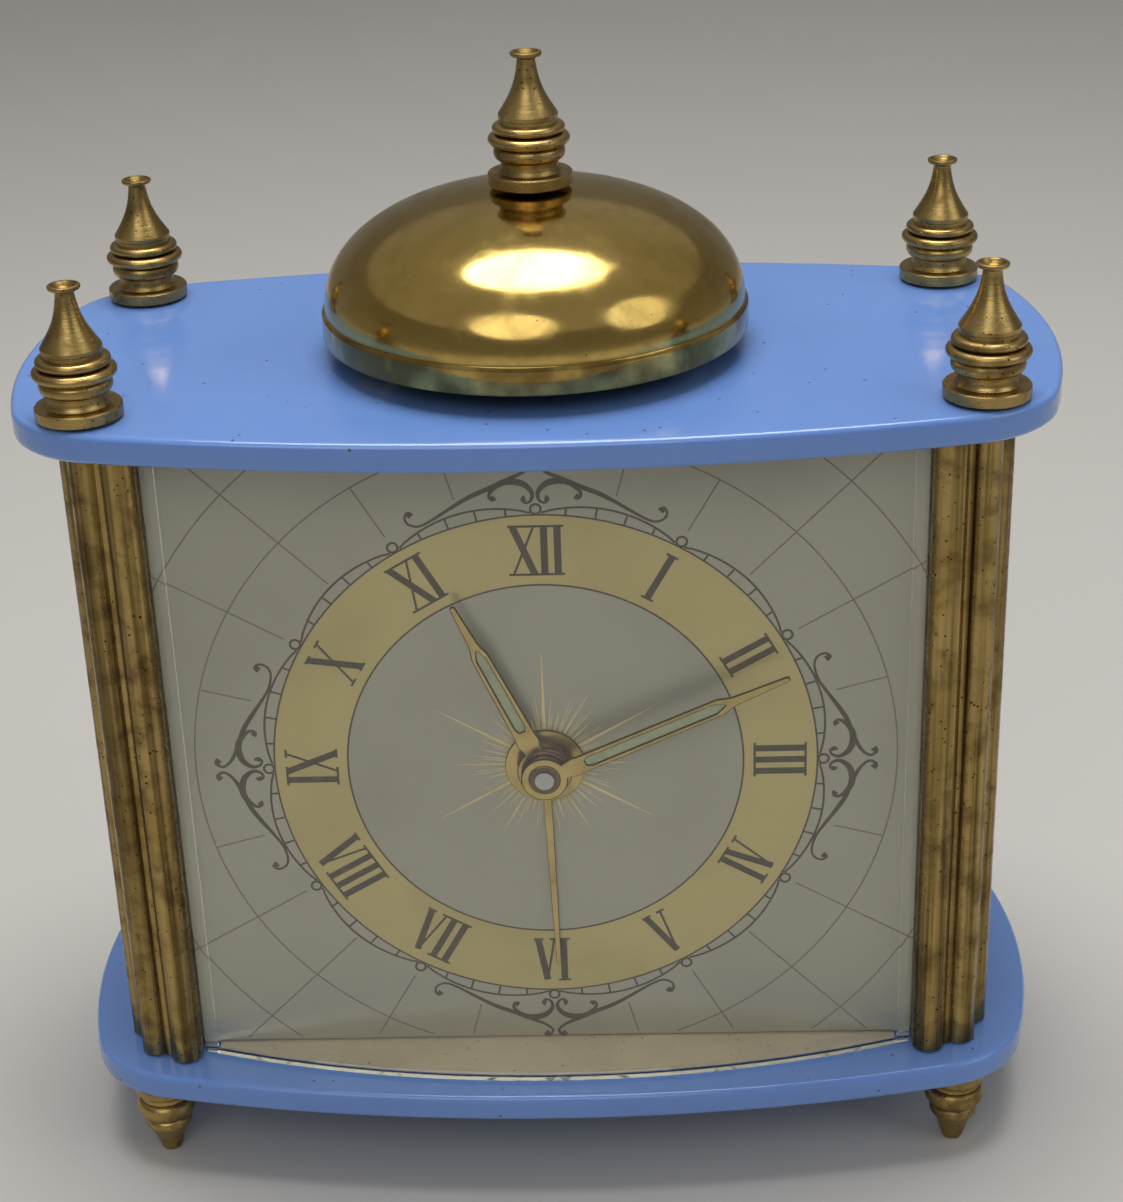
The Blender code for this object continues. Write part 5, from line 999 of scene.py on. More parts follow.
def crossing(first, second, inside):
    """Where two circles (x, y, radius) cross, on the side away from a point."""
    apart = math.dist(first[:2], second[:2])
    along = (apart**2 + first[2] ** 2 - second[2] ** 2) / (2 * apart)
    across = math.sqrt(first[2] ** 2 - along**2)
    ux, uy = (second[0] - first[0]) / apart, (second[1] - first[1]) / apart
    near = (first[0] + ux * along, first[1] + uy * along)
    spots = [(near[0] + s * uy * across, near[1] - s * ux * across) for s in (1, -1)]
    return max(spots, key=lambda p: math.dist(p, inside))


def plate_outline(half_x, half_y):
    """Four bowed sides with a round corner between each pair, from one quarter."""
    front = (0.0, FRONT_BOW - half_y)
    side = (half_x - SIDE_BOW, 0.0)
    far = (-FRONT_BOW, FRONT_BOW)
    corner = crossing((*front, FRONT_BOW - CORNER_ROUND), (*side, SIDE_BOW - CORNER_ROUND), far)
    front_end = math.atan2(corner[1] - front[1], corner[0] - front[0])
    side_end = math.atan2(corner[1] - side[1], corner[0] - side[0])
    quarter = arc(front, FRONT_BOW, -math.pi / 2, front_end, 24)
    quarter += arc(corner, CORNER_ROUND, front_end, side_end, 16)[1:]
    quarter += arc(side, SIDE_BOW, side_end, 0.0, 12)[1:]
    right = quarter + [(x, -y) for x, y in reversed(quarter[:-1])]
    return right + [(-x, y) for x, y in reversed(right[1:-1])]


outline = plate_outline(top_high.x - PLATE_INSIDE, top_high.y - PLATE_INSIDE)
sx, sy, sw, sd = HAMMER_SLOT
slot = [(sx - sw, sy - sd), (sx + sw, sy - sd), (sx + sw, sy + sd), (sx - sw, sy + sd)]
rims = {"edge": RIM_ROUND, "angle": RIM_ANGLE}
base_plate = sheet("base_plate_dressed", [outline], base_low.z, base_high.z, **rims)
top_plate = sheet("top_plate_dressed", [outline, slot], top_low.z, top_high.z, **rims)
dressed(base_plate, "clock", blue_plastic, "base_plate")
dressed(top_plate, "clock", blue_plastic, "top_plate")
print("plate faces", len(base_plate.data.polygons), len(top_plate.data.polygons))

# %% [markdown]
# ## Finials and feet
# All five finials were turned to one pattern: a base disc, a narrow waist, three rings, a drum, then a
# long hollow sweep up to a small cupped flange. Each ring has its own roundness, so the profile is built
# from beads and hollows and spun once, and the other finials are copies.

# %% Turn one finial and copy it
finial_low, finial_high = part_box("finial_front_left")
F0 = finial_low.z


def finial_profile(base):
    """Half profile of a finial that stands on a height, in metres."""
    drawn = [(0.0, 0.0), (4.38, 0.0), (4.48, 0.1)]
    drawn += [(4.5, 1.15), (4.38, 1.3), (3.35, 1.36), (3.16, 1.6)]
    drawn += hollow(3.16, 1.6, 3.15, 2.6, 0.1, 5)[1:]
    drawn += bead(3.3, 2.72, 4.14, 0.5, 8)
    drawn += bead(3.62, 4.2, 5.4, 0.73, 10)
    drawn += bead(3.3, 5.46, 6.46, 0.55, 8)
    drawn += [(3.06, 6.52), (3.04, 6.95), (3.14, 7.05), (3.15, 7.45), (3.05, 7.6)]
    drawn += hollow(3.05, 7.6, 0.98, 12.85, 0.42, 14)[1:]
    drawn += [(0.98, 13.1), (1.22, 13.3), (1.6, 13.42)]
    drawn += bead(1.56, 13.45, 13.84, 0.12, 5)[1:]
    drawn += [(1.34, 13.88), (1.2, 13.7), (0.95, 13.4), (0.0, 13.3)]
    return [(r * MM, base + h * MM) for r, h in drawn]


def at_other_corners(first, kind):
    """Copies of the front left piece of a kind at the other three corners."""
    start = corner_at["front_left"]
    for corner in CORNERS[1:]:
        end = corner_at[corner]
        twin = copied(first, "%s_%s_dressed" % (kind, corner), (end[0] - start[0], end[1] - start[1], 0.0))
        dressed(twin, "clock", turned_brass, "%s_%s" % (kind, corner))


finial = turned("finial_front_left_dressed", finial_profile(F0), corner_at["front_left"])
dressed(finial, "clock", turned_brass, "finial_front_left")
at_other_corners(finial, "finial")
crown_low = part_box("bell_finial")[0]
crown = turned("bell_finial_dressed", finial_profile(crown_low.z), middle("bell_finial"))
dressed(crown, "clock", turned_brass, "bell_finial")
print("finial tall", round((finial_high.z - F0) / MM, 2), "faces", len(finial.data.polygons))

# %% [markdown]
# The feet are turned upside down from the same bar: a flat tip, a widening cone and three rings of
# growing size up to the plate. They follow the finials' way, one drawn and three copied.

# %% Turn one foot and copy it
foot_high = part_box("foot_front_left")[1]


def foot_profile(top):
    """Half profile of a foot from its flat tip up to the plate."""
    drawn = [(0.0, 0.0), (0.95, 0.0), (1.1, 0.12), (1.2, 0.32)]
    drawn += [(1.62, 1.7), (2.02, 2.95), (2.14, 3.3)]
    drawn += bead(2.1, 3.42, 5.1, 0.66, 8)
    drawn += [(2.6, 5.22)]
    drawn += bead(2.68, 5.32, 7.55, 0.74, 9)
    drawn += [(2.9, 7.7), (2.88, 8.1)]
    drawn += bead(2.86, 8.25, top - 0.05, 0.62, 8)
    drawn += [(2.6, top), (0.0, top)]
    return in_mm(drawn)


foot = turned("foot_front_left_dressed", foot_profile(foot_high.z / MM), corner_at["front_left"])
dressed(foot, "clock", turned_brass, "foot_front_left")
at_other_corners(foot, "foot")
print("foot tall", round(foot_high.z / MM, 2))

# %% [markdown]
# ## Bell
# The bell is spun from sheet brass: a dome that flattens at the crown, a fine groove, and a plain rim
# band. Half a sphere would be too tall and too round, so the dome follows a squared ellipse, and the wall
# is drawn on both sides so that the inside is a real hollow.

# %% Spin the bell
BELL_R = bell_high.x
BELL_WALL = 0.8 * MM
GROOVE = 0.35 * MM
DOME_POWER = 2 / 2.15


def dome(radius, foot, rise, first, last, points):
    """Profile of a squared dome between two angles from its axis."""
    made = []
    for i in range(points + 1):
        angle = math.radians(first + (last - first) * i / points)
        out = radius * abs(math.sin(angle)) ** DOME_POWER
        made.append((out, foot + rise * abs(math.cos(angle)) ** DOME_POWER))
    return made


rim = bell_low.z
band_top = rim + BELL_BAND
rise = bell_high.z - band_top
neck = 1.4 * MM
CROWN_FROM, DOME_TO = 5.0, 89.0
profile = [(neck, bell_high.z)]
profile += dome(BELL_R - GROOVE, band_top, rise, CROWN_FROM, DOME_TO, 34)
profile += [(BELL_R - GROOVE - 0.05 * MM, band_top - 0.02 * MM), (BELL_R - GROOVE, band_top - 0.16 * MM)]
profile += [(BELL_R - 0.12 * MM, band_top - 0.34 * MM), (BELL_R, band_top - 0.5 * MM)]
profile += [(BELL_R, rim + 0.25 * MM), (BELL_R - 0.08 * MM, rim + 0.06 * MM), (BELL_R - 0.25 * MM, rim)]
profile += [(BELL_R - BELL_WALL + 0.15 * MM, rim), (BELL_R - BELL_WALL, rim + 0.15 * MM)]
profile += dome(BELL_R - GROOVE - BELL_WALL, band_top, rise - BELL_WALL, DOME_TO, CROWN_FROM, 24)
profile += [(neck, bell_high.z - BELL_WALL), (neck, bell_high.z)]
bell = turned("bell_dressed", profile, middle("bell"), 144)
dressed(bell, "clock", bell_brass, "bell")
print("bell across", round(2 * BELL_R / MM, 2), "faces", len(bell.data.polygons))

# %% [markdown]
# ## Corner posts
# Each corner is hugged by a brass moulding of three reeds with a fine bead between each pair. Three plain
# rods would miss the beads and the flat back, so the moulding's true section is drawn and pulled up to
# its length.

# %% Draw the moulding's section
REED = 1.75 * MM
BEAD = 0.6 * MM
BEAD_LIFT = 0.35 * MM
REED_ANGLE = 32.0
REEDS = [(-3.4 * MM, 1.1 * MM), (0.3 * MM, -0.5 * MM), (2.1 * MM, -4.4 * MM)]
SECTION_INSIDE = Vector((-6 * MM, -7 * MM))
case_low, case_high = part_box("case")
POST_X = abs(corner_at["front_right"][0])
POST_Y = abs(corner_at["front_right"][1])
GAP = 0.3 * MM


def moulding(sx, sy):
    """The section of one corner post, in plan."""
    rounds = [(*REEDS[0], REED)]
    for near, far in zip(REEDS, REEDS[1:]):
        halfway = (Vector(near) + Vector(far)) / 2
        lifted = halfway + (halfway - SECTION_INSIDE).normalized() * BEAD_LIFT
        rounds += [(lifted.x, lifted.y, BEAD), (*far, REED)]
    loop = []
    start = math.pi
    for i, here in enumerate(rounds):
        final = i + 1 == len(rounds)
        spot = None if final else crossing(here, rounds[i + 1], SECTION_INSIDE)
        end = -math.pi / 2 if final else math.atan2(spot[1] - here[1], spot[0] - here[0])
        while end > start:
            end -= TAU
        steps = 26 if here[2] == REED else 10
        loop += arc(here[:2], here[2], start, end, steps)[0 if i == 0 else 1 :]
        if not final:
            start = math.atan2(spot[1] - rounds[i + 1][1], spot[0] - rounds[i + 1][0])
    side_u = case_high.x + GAP - POST_X
    side_v = case_high.y + GAP - POST_Y
    dial_u = dial_high.x + GAP - POST_X
    dial_v = -dial_low.y + GAP - POST_Y
    loop += [(side_u, REEDS[2][1] - REED), (side_u, side_v), (dial_u, side_v), (dial_u, dial_v)]
    loop.append((REEDS[0][0] - REED, dial_v))
    return [(sx * (POST_X + u), sy * (POST_Y + v)) for u, v in loop]


post_low, post_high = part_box("post_front_left")
for corner in CORNERS:
    sx = -1 if "left" in corner else 1
    sy = -1 if "front" in corner else 1
    post = sheet("post_" + corner + "_dressed", [moulding(sx, sy)], post_low.z, post_high.z, angle=REED_ANGLE)
    dressed(post, "clock", post_brass, "post_" + corner)
print("post tall", round((post_high.z - post_low.z) / MM, 2), "faces", len(post.data.polygons))

# %% [markdown]
# ## Window
# The window is one bowed sheet whose ends turn back to the dial. A flat pane would lose the curved
# highlight and the dark line at its foot, so its section is drawn as two arcs a wall apart and pulled up
# like the posts.

# %% Draw the window
LENS_BOW = 127.6 * MM
LENS_WALL = 1.5 * MM
LENS_EDGE = 0.12 * MM
LENS_ANGLE = 10.0
lens_centre = (0.0, LENS_BOW + lens_low.y)
half = lens_high.x


def lens_arc(inwards, half_x, steps):
    """The window's bow at a depth inside its front, between two sides."""
    radius = LENS_BOW - inwards
    swing = math.asin(half_x / radius)
    return arc(lens_centre, radius, -math.pi / 2 - swing, -math.pi / 2 + swing, steps)


section = lens_arc(0.0, half, 72)
section += [(half, lens_high.y), (half - LENS_WALL, lens_high.y)]
section += reversed(lens_arc(LENS_WALL, half - LENS_WALL, 72))
section += [(LENS_WALL - half, lens_high.y), (-half, lens_high.y)]
lens = sheet("lens_dressed", [section], lens_low.z, lens_high.z, edge=LENS_EDGE, angle=LENS_ANGLE)
dressed(lens, "clock", lens_clear, "lens")
print("window faces", len(lens.data.polygons))

# %% [markdown]
# ## Hands
# The hands are stamped gilt batons: a round boss, a slim slotted blade that holds luminous paint, and a
# narrow rounded tip. Each is cut as a sheet with soft edges, and the paint is a separate filling that
# stands a little below the gilt, as it does on the real hand.

# %% Cut the hands and fill them
HAND_THICK = 0.4 * MM
HAND_EDGE = 0.18 * MM
HAND_ANGLE = 40.0
MINUTE_BOSS, MINUTE_BORE = 2.55 * MM, 1.6 * MM
HOUR_BOSS, HOUR_BORE = 3.0 * MM, 2.3 * MM
ALARM_BOSS, ALARM_BORE = 4.35 * MM, 2.62 * MM
ALARM_ROOT = 0.45 * MM
ALARM_EDGE = 0.08 * MM
LUME_DEPTH = 0.2 * MM
LUME_EDGE = 0.02 * MM
MINUTE_AT = 66.0
HOUR_AT = -24.5
ALARM_AT = 178.5
minute_front = -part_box("minute_hand")[0].y
hour_front = -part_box("hour_hand")[0].y
alarm_front = -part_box("alarm_hand")[0].y


def turned_to(loop, degrees):
    """Turn an outline that points along +x to a clock angle."""
    angle = math.radians(90 - degrees)
    c, s = math.cos(angle), math.sin(angle)
    return [(x * c - y * s, x * s + y * c) for x, y in loop]


def baton(boss, root, half_root, half_neck, neck, length, half_tip):
    """Outline of a hand along +x, from its boss to its rounded tip."""
    meet = math.asin(0.8 * half_root / boss)
    upper = [(root * 0.86, half_root * 1.1), (root, half_root)]
    upper += [(neck - 1.6 * MM, half_neck), (neck - 0.7 * MM, half_neck * 0.72), (neck, half_tip * 1.7)]
    upper += [(length - 0.9 * half_tip, half_tip), (length - 0.3 * half_tip, half_tip * 0.75)]
    upper.append((length, 0.3 * half_tip))
    loop = arc((0, 0), boss, meet, TAU - meet, 56)
    return loop + [(x, -y) for x, y in upper] + list(reversed(upper))


def slit(start, half_start, half_end, end):
    """Outline of the slot for the luminous paint."""
    upper = [(start, half_start * 0.55), (start + half_start, half_start)]
    upper += [(end - half_end * 2.2, half_end), (end, 0.12 * half_end)]
    return upper + [(x, -y) for x, y in reversed(upper)]


def hand(name, bore, outline, opening, front, at, body):
    """A gilt blade with its bore and its slot, turned to a clock angle."""
    loops = [turned_to(loop, at) for loop in (outline, circle(bore, 40), opening)]
    blade = sheet(
        name + "_dressed", loops, front - HAND_THICK, front, edge=HAND_EDGE, upright=True, angle=HAND_ANGLE,
    )
    return dressed(blade, body, hand_gilt, name)


minute_slit = slit(4.9 * MM, 0.52 * MM, 0.52 * MM, 21.2 * MM)
hour_slit = slit(5.5 * MM, 0.52 * MM, 0.48 * MM, 16.2 * MM)
minute_baton = baton(MINUTE_BOSS, 4.2 * MM, 1.08 * MM, 1.02 * MM, 22.3 * MM, 28.7 * MM, 0.33 * MM)
hour_baton = baton(HOUR_BOSS, 4.7 * MM, 1.2 * MM, 0.98 * MM, 17.1 * MM, 22.0 * MM, 0.33 * MM)
hand("minute_hand", MINUTE_BORE, minute_baton, minute_slit, minute_front, MINUTE_AT, "minute_train")
hand("hour_hand", HOUR_BORE, hour_baton, hour_slit, hour_front, HOUR_AT, "hour_train")
for name, loop, front, at, body in (
    ("minute_lume", minute_slit, minute_front, MINUTE_AT, "minute_train"),
    ("hour_lume", hour_slit, hour_front, HOUR_AT, "hour_train"),
):
    spots = [turned_to(loop, at)]
    paint = sheet(name, spots, front - HAND_THICK, front - LUME_DEPTH, edge=LUME_EDGE, upright=True)
    dressed(paint, body, lume)

meet = math.asin(ALARM_ROOT / ALARM_BOSS)
side = [(12 * MM, 0.42 * MM), (25.6 * MM, 0.26 * MM)]
pointer = arc((0, 0), ALARM_BOSS, meet, TAU - meet, 72)
pointer += [(x, -y) for x, y in side] + [(25.9 * MM, 0.0)] + side[::-1]
alarm_hand = sheet(
    "alarm_hand_dressed", [turned_to(pointer, ALARM_AT), circle(ALARM_BORE, 48)],
    alarm_front - HAND_THICK, alarm_front, edge=ALARM_EDGE, upright=True, angle=HAND_ANGLE,
)
dressed(alarm_hand, "alarm_setting", hand_gilt, "alarm_hand")
print("hands cut")

# %% [markdown]
# Between the hands stand turned pipes and bushes, stepped and ringed. They are what gives the hub its
# depth, so each hand gets its own bush on its own body, and the arbor's end shows as a small polished
# dome.

# %% Turn the hub
NOTCH_HALF = 0.07
NOTCH_DEEP = 0.09
COLLAR_EDGE = 0.05


def bush(name, rings, body, finish):
    """A turned sleeve at the hub from (radius, depth) points, given from the dial outwards."""
    piece = turned(name, in_mm((r, -d) for r, d in rings), (0.0, HUB_Z), 56, "Y")
    return dressed(piece, body, finish)


def collar(name, inner, outer, low, high, body):
    """A dark turned distance ring with one fine groove, between two hands."""
    notch = (low + high) / 2
    rings = [(inner, low), (outer, low), (outer, notch - NOTCH_HALF), (outer - NOTCH_DEEP, notch)]
    rings += [(outer, notch + NOTCH_HALF), (outer, high - COLLAR_EDGE), (outer - COLLAR_EDGE, high)]
    rings += [(inner, high), (inner, low)]
    return bush(name, rings, body, pipe_brass)


m = minute_front / MM
h = hour_front / MM
a = alarm_front / MM
blade = HAND_THICK / MM
collar("alarm_pipe", 2.2, 2.72, a - 0.3, a + 0.16, "alarm_setting")
collar("hour_collar", 1.9, 2.66, a + 0.22, h - blade + 0.02, "hour_train")
collar("hour_pipe", 1.5, 2.52, h - 0.05, h + 0.3, "hour_train")
collar("minute_collar", 1.2, 2.3, h + 0.36, m - blade + 0.02, "minute_train")
seat = [(1.05, m - 0.5), (1.72, m - 0.5), (1.72, m + 0.1), (1.62, m + 0.18), (1.3, m + 0.2), (1.05, m + 0.1)]
bush("minute_bush", seat + seat[:1], "minute_train", pipe_brass)
tip = [(0.0, m - 0.5), (1.02, m - 0.5), (1.02, m + 0.24), (0.9, m + 0.33), (0.4, m + 0.35)]
tip += [(0.3, m + 0.3), (0.0, m + 0.28)]
bush("minute_arbor_end", tip, "minute_train", steel)
print("hub turned")

# %% [markdown]
# ## The back: keys, knobs and screws
# The owner's side of the clock has two butterfly winding keys, two setting knobs, the stop button and
# four screws. The solids carry the right sizes but plain edges. What shows outside the cover is modelled
# again with pierced wings, fluted grips and slotted heads; the arbors inside the case are cut off the
# same solids and keep their own shape, so nothing that turns is lost.

# %% Cut the inner half off a solid
COVER_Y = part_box("rear_cover")[1].y
CUT_ANGLE = 30.0


def middle_upright(node):
    """The middle of a node's box seen from the front, as (x, z)."""
    low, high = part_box(node)
    return (low.x + high.x) / 2, (low.z + high.z) / 2


def inner_part(node, body, finish, depth):
    """The part of a node's solid in front of a depth, as a piece of its own."""
    source = nodes[node]
    piece = bpy.data.objects.new(node + "_inside", source.data.copy())
    bpy.context.scene.collection.objects.link(piece)
    piece.matrix_world = source.matrix_world
    choose(piece)
    bpy.ops.object.transform_apply(location=True, rotation=True, scale=True)
    bpy.ops.object.mode_set(mode="EDIT")
    bpy.ops.mesh.select_all(action="SELECT")
    bpy.ops.mesh.bisect(plane_co=(0.0, depth, 0.0), plane_no=(0.0, 1.0, 0.0), use_fill=True, clear_outer=True)
    bpy.ops.object.mode_set(mode="OBJECT")
    return dressed(settle(piece, CUT_ANGLE), body, finish, node)


print("cover's back at", round(COVER_Y / MM, 2))

# %% [markdown]
# A winding key is a flat pair of pierced wings on a ringed barrel. One wing is drawn and mirrored, so that
# both sides match, and the pair leans the way that the node's own wings lean.

# %% Winding keys
KEY_FOOT = COVER_Y + 0.6 * MM
KEY_BARREL = 3.0 * MM
WING_THICK = 1.3 * MM
WING_EDGE = 0.3 * MM
WING_LEAN = 25
WING_SUNK = 1.2 * MM
WING_HOLE = 1.25 * MM
HOLE_AT = (6.5 * MM, 4.1 * MM)
WING_HALF = [
    (0.0, 0.1), (2.2, 0.05), (3.6, 0.5), (5.4, 0.8), (7.4, 0.75), (8.9, 1.5), (9.45, 3.2), (9.2, 5.2),
    (8.2, 6.8), (6.6, 7.45), (4.9, 7.0), (3.4, 5.6), (2.1, 4.2), (0.0, 3.7),
]


def winding_key(node, body):
    """Pierced wings on a ringed barrel, turned to the lean of the node's own wings."""
    cx, cz = middle_upright(node)
    tips = [nodes[node].matrix_world @ v.co for v in nodes[node].data.vertices]
    lean = sum((p.x - cx) * (p.z - cz) for p in tips if p.y > KEY_FOOT + 2 * KEY_BARREL)
    half = [(x, y) for x, y, _ in flowing(WING_HALF, lambda share: 0.0, 4)]
    loop = half + [(-x, y) for x, y in reversed(half[1:-1])]
    holes = [circle(WING_HOLE, 24, (side * HOLE_AT[0], HOLE_AT[1])) for side in (1, -1)]
    wings = sheet(node + "_wings", [in_mm(loop), *holes], -WING_THICK / 2, WING_THICK / 2, edge=WING_EDGE)
    swing = Matrix.Rotation(math.radians(-WING_LEAN if lean > 0 else WING_LEAN), 4, "Y")
    wings.data.transform(Matrix.Translation((cx, KEY_FOOT + KEY_BARREL - WING_SUNK, cz)) @ swing)
    dressed(wings, body, key_brass)
    f = KEY_FOOT / MM
    rings = [(0.0, f), (2.45, f), (2.6, f + 0.15), (2.6, f + 0.9), (2.35, f + 1.05), (2.35, f + 1.35)]
    rings += [(2.6, f + 1.5), (2.6, f + 2.5), (2.4, f + 2.85), (1.9, f + 3.0), (0.0, f + 3.0)]
    barrel = turned(node + "_barrel", in_mm(rings), (cx, cz), 48, "Y")
    dressed(barrel, body, key_brass)
    inner_part(node, body, steel, COVER_Y)


winding_key("time_key", "time_winder")
winding_key("alarm_key", "alarm_winder")
print("winding keys cut")

# %% [markdown]
# The setting knobs are turned between finger and thumb, so their grips are fluted. Cutting each flute out
# would take many cutters, so the grip's outline itself swells and sinks, and a turned face closes its
# end.

# %% Setting knobs with fluted grips
FLUTE_STEPS = 10
FLUTE_DEEP = 0.32 * MM
GRIP_EDGE = 0.25 * MM
GRIP_ANGLE = 50.0
FACE_PROUD = 0.35 * MM


def fluted(node, body, flutes):
    """A knob with round flutes, a hollow face and a raised button."""
    cx, cz = middle_upright(node)
    low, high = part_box(node)
    radius = (high.x - low.x) / 2
    back = high.y
    loop = []
    for i in range(flutes * FLUTE_STEPS):
        swell = 0.5 + 0.5 * math.cos(TAU * i / FLUTE_STEPS)
        reach = radius - FLUTE_DEEP * (1 - swell) ** 2
        loop.append(polar(reach, 360 * i / (flutes * FLUTE_STEPS), (cx, cz - HUB_Z)))
    grip = sheet(
        node + "_grip", [loop], FACE_PROUD - back, -KEY_FOOT, edge=GRIP_EDGE, upright=True, angle=GRIP_ANGLE,
    )
    dressed(grip, body, key_brass)
    r = radius / MM
    f = back / MM
    face = [(0.0, f - 0.9), (r - 0.75, f - 0.9), (r - 0.62, f - 0.12), (r - 0.8, f), (r - 1.05, f - 0.05)]
    face += [(r - 1.25, f - 0.3), (1.5, f - 0.32), (1.2, f - 0.1), (0.9, f - 0.02), (0.0, f)]
    cap = turned(node + "_face", in_mm(face), (cx, cz), 48, "Y")
    dressed(cap, body, key_brass)
    return grip


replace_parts(fluted("hand_knob", "minute_train", 24), "hand_knob")
fluted("alarm_knob", "alarm_setting_knob", 20)
inner_part("alarm_knob", "alarm_setting_knob", steel, COVER_Y)
print("setting knobs cut")

# %% [markdown]
# The stop button is one turned piece, rod and cap. A slotted screw head could be cut with a bar, but two
# half heads set a slot's width apart on a plain shank give the same slot with clean rounded edges.

# %% Stop button and screws
HEAD_R = 1.72 * MM
SLOT_HALF = 0.22 * MM
HEAD_TALL = 0.52
HEAD_EDGE = 0.18 * MM
SLOT_TURN = 37
stop_low, stop_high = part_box("stop_button")
s0, s1 = stop_low.y / MM, stop_high.y / MM
push = [(0.0, s0), (0.9, s0), (1.0, s0 + 0.1), (1.0, s1 - 2.1), (1.85, s1 - 2.1), (2.1, s1 - 1.9)]
push += [(2.1, s1 - 1.5), (1.95, s1 - 1.35), (2.1, s1 - 1.2), (2.1, s1 - 0.6), (1.9, s1 - 0.22)]
push += [(1.4, s1 - 0.05), (0.0, s1)]
button = turned("stop_button_dressed", in_mm(push), middle_upright("stop_button"), 48, "Y")
dressed(button, "stop", black_lacquer, "stop_button")
for number in range(1, 5):
    node = "cover_screw_%d" % number
    cx, cz = middle_upright(node)
    low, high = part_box(node)
    y0, y1 = low.y / MM, high.y / MM
    shank = [(0.0, y0), (0.9, y0), (0.9, y1 - 1.0), (1.75, y1 - 1.0), (1.8, y1 - 0.9)]
    shank += [(1.8, y1 - 0.5), (0.0, y1 - 0.5)]
    screw = turned(node + "_dressed", in_mm(shank), (cx, cz), 40, "Y")
    dressed(screw, "clock", steel, node)
    turn = math.radians(SLOT_TURN * number)
    swing = math.asin(SLOT_HALF / HEAD_R)
    for side, end in ((1, "a"), (-1, "b")):
        placed = []
        for x, y in arc((0, 0), HEAD_R, swing, math.pi - swing, 24):
            y = side * y
            placed.append((
                cx + x * math.cos(turn) - y * math.sin(turn),
                cz - HUB_Z + x * math.sin(turn) + y * math.cos(turn),
            ))
        half_head = sheet(
            node + "_head_" + end, [placed], -y1 * MM, (-y1 + HEAD_TALL) * MM, edge=HEAD_EDGE, upright=True,
        )
        dressed(half_head, "clock", steel)
print("button and screws", button.name, number)

# %% [markdown]
# The cover carries moulded marks: a ring round each key and knob, arrows that show which way the keys
# wind, and a frame. They stand up by a fifth of a millimetre, so they are real low reliefs that catch the
# light from any side.

# %% Moulded marks on the cover and the case's sides
COVER_FACE = COVER_Y / MM
MARK_PROUD = 0.22
MARK_SUNK = 0.05
MARK_EDGE = 0.07 * MM
ARROW_HALF = 0.35
ARROW_BARB = 1.0
ARROW_POINT = 9
ARROW_R = 11.4
RING_WIDE = 0.6


def cover_mark(name, loops):
    """A raised mark moulded on the cover, from outlines in the dial's plane."""
    back, front = -(COVER_FACE + MARK_PROUD) * MM, -(COVER_FACE - MARK_SUNK) * MM
    mark = sheet(name, [in_mm(loop) for loop in loops], back, front, edge=MARK_EDGE, upright=True)
    return dressed(mark, "clock", cream_case)


def turn_arrow(name, at, start, end):
    """A curved arrow round a key that shows which way it winds."""
    point = end + (ARROW_POINT if end > start else -ARROW_POINT)
    band = [polar(ARROW_R + ARROW_HALF, start + (end - start) * i / 20, at) for i in range(21)]
    band += [polar(ARROW_R + ARROW_BARB, end, at), polar(ARROW_R, point, at)]
    band.append(polar(ARROW_R - ARROW_BARB, end, at))
    band += [polar(ARROW_R - ARROW_HALF, end + (start - end) * i / 20, at) for i in range(21)]
    return cover_mark(name, [band])


for node, ring_r in (("time_key", 3.6), ("alarm_key", 3.6), ("hand_knob", 5.6), ("alarm_knob", 4.9)):
    cx, cz = middle_upright(node)
    at = (cx / MM, (cz - HUB_Z) / MM)
    cover_mark(node + "_ring", [circle(ring_r + RING_WIDE, 64, at), circle(ring_r, 64, at)])
    if node.endswith("_key"):
        turn_arrow(node + "_arrow_low", at, -130, -230)
        turn_arrow(node + "_arrow_high", at, 40, -40)
cover_low, cover_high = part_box("rear_cover")
FRAME_IN = 4.6
half_w = cover_high.x / MM - FRAME_IN
top_y = (cover_high.z - HUB_Z) / MM - FRAME_IN
foot_y = (cover_low.z - HUB_Z) / MM + FRAME_IN


def framed(half_wide, foot, top, wide):
    """The two outlines of an upright frame of a width, outer one first."""
    loops = []
    for inset in (0.0, wide):
        w, t, b = half_wide - inset, top - inset, foot + inset
        loops.append([(-w, b), (w, b), (w, t), (-w, t)])
    return loops


FRAME_WIDE = 0.8
cover_mark("cover_frame", framed(half_w, foot_y, top_y, FRAME_WIDE))
SIDE_HALF = 11.5
SIDE_IN = 5.0
SIDE_WIDE = 0.9
SIDE_SUNK = 0.05 * MM
SIDE_PROUD = 0.3 * MM
SIDE_EDGE = 0.1 * MM
for side, end in ((-1, "left"), (1, "right")):
    panel = framed(SIDE_HALF, case_low.z / MM + SIDE_IN, case_high.z / MM - SIDE_IN, SIDE_WIDE)
    laid = [[(z * MM, y * MM) for y, z in (loop[0], loop[3], loop[2], loop[1])] for loop in panel]
    rib = sheet("side_frame_" + end, laid, -SIDE_SUNK, SIDE_PROUD, edge=SIDE_EDGE)
    rib.data.transform(Matrix.Rotation(math.radians(-90), 4, "Y"))
    rib.data.transform(Matrix.Diagonal((-side, 1.0, 1.0, 1.0)))
    rib.data.transform(Matrix.Translation((side * case_high.x, 0.0, 0.0)))
    dressed(settle(rib), "clock", cream_case)

# %% [markdown]
# ## The pieces whose solids are already right
# The dial, the case, the rods and the clockwork keep their own solids, because flat and hidden shapes
# gain nothing from a second model. They only take a finish in their material slots.

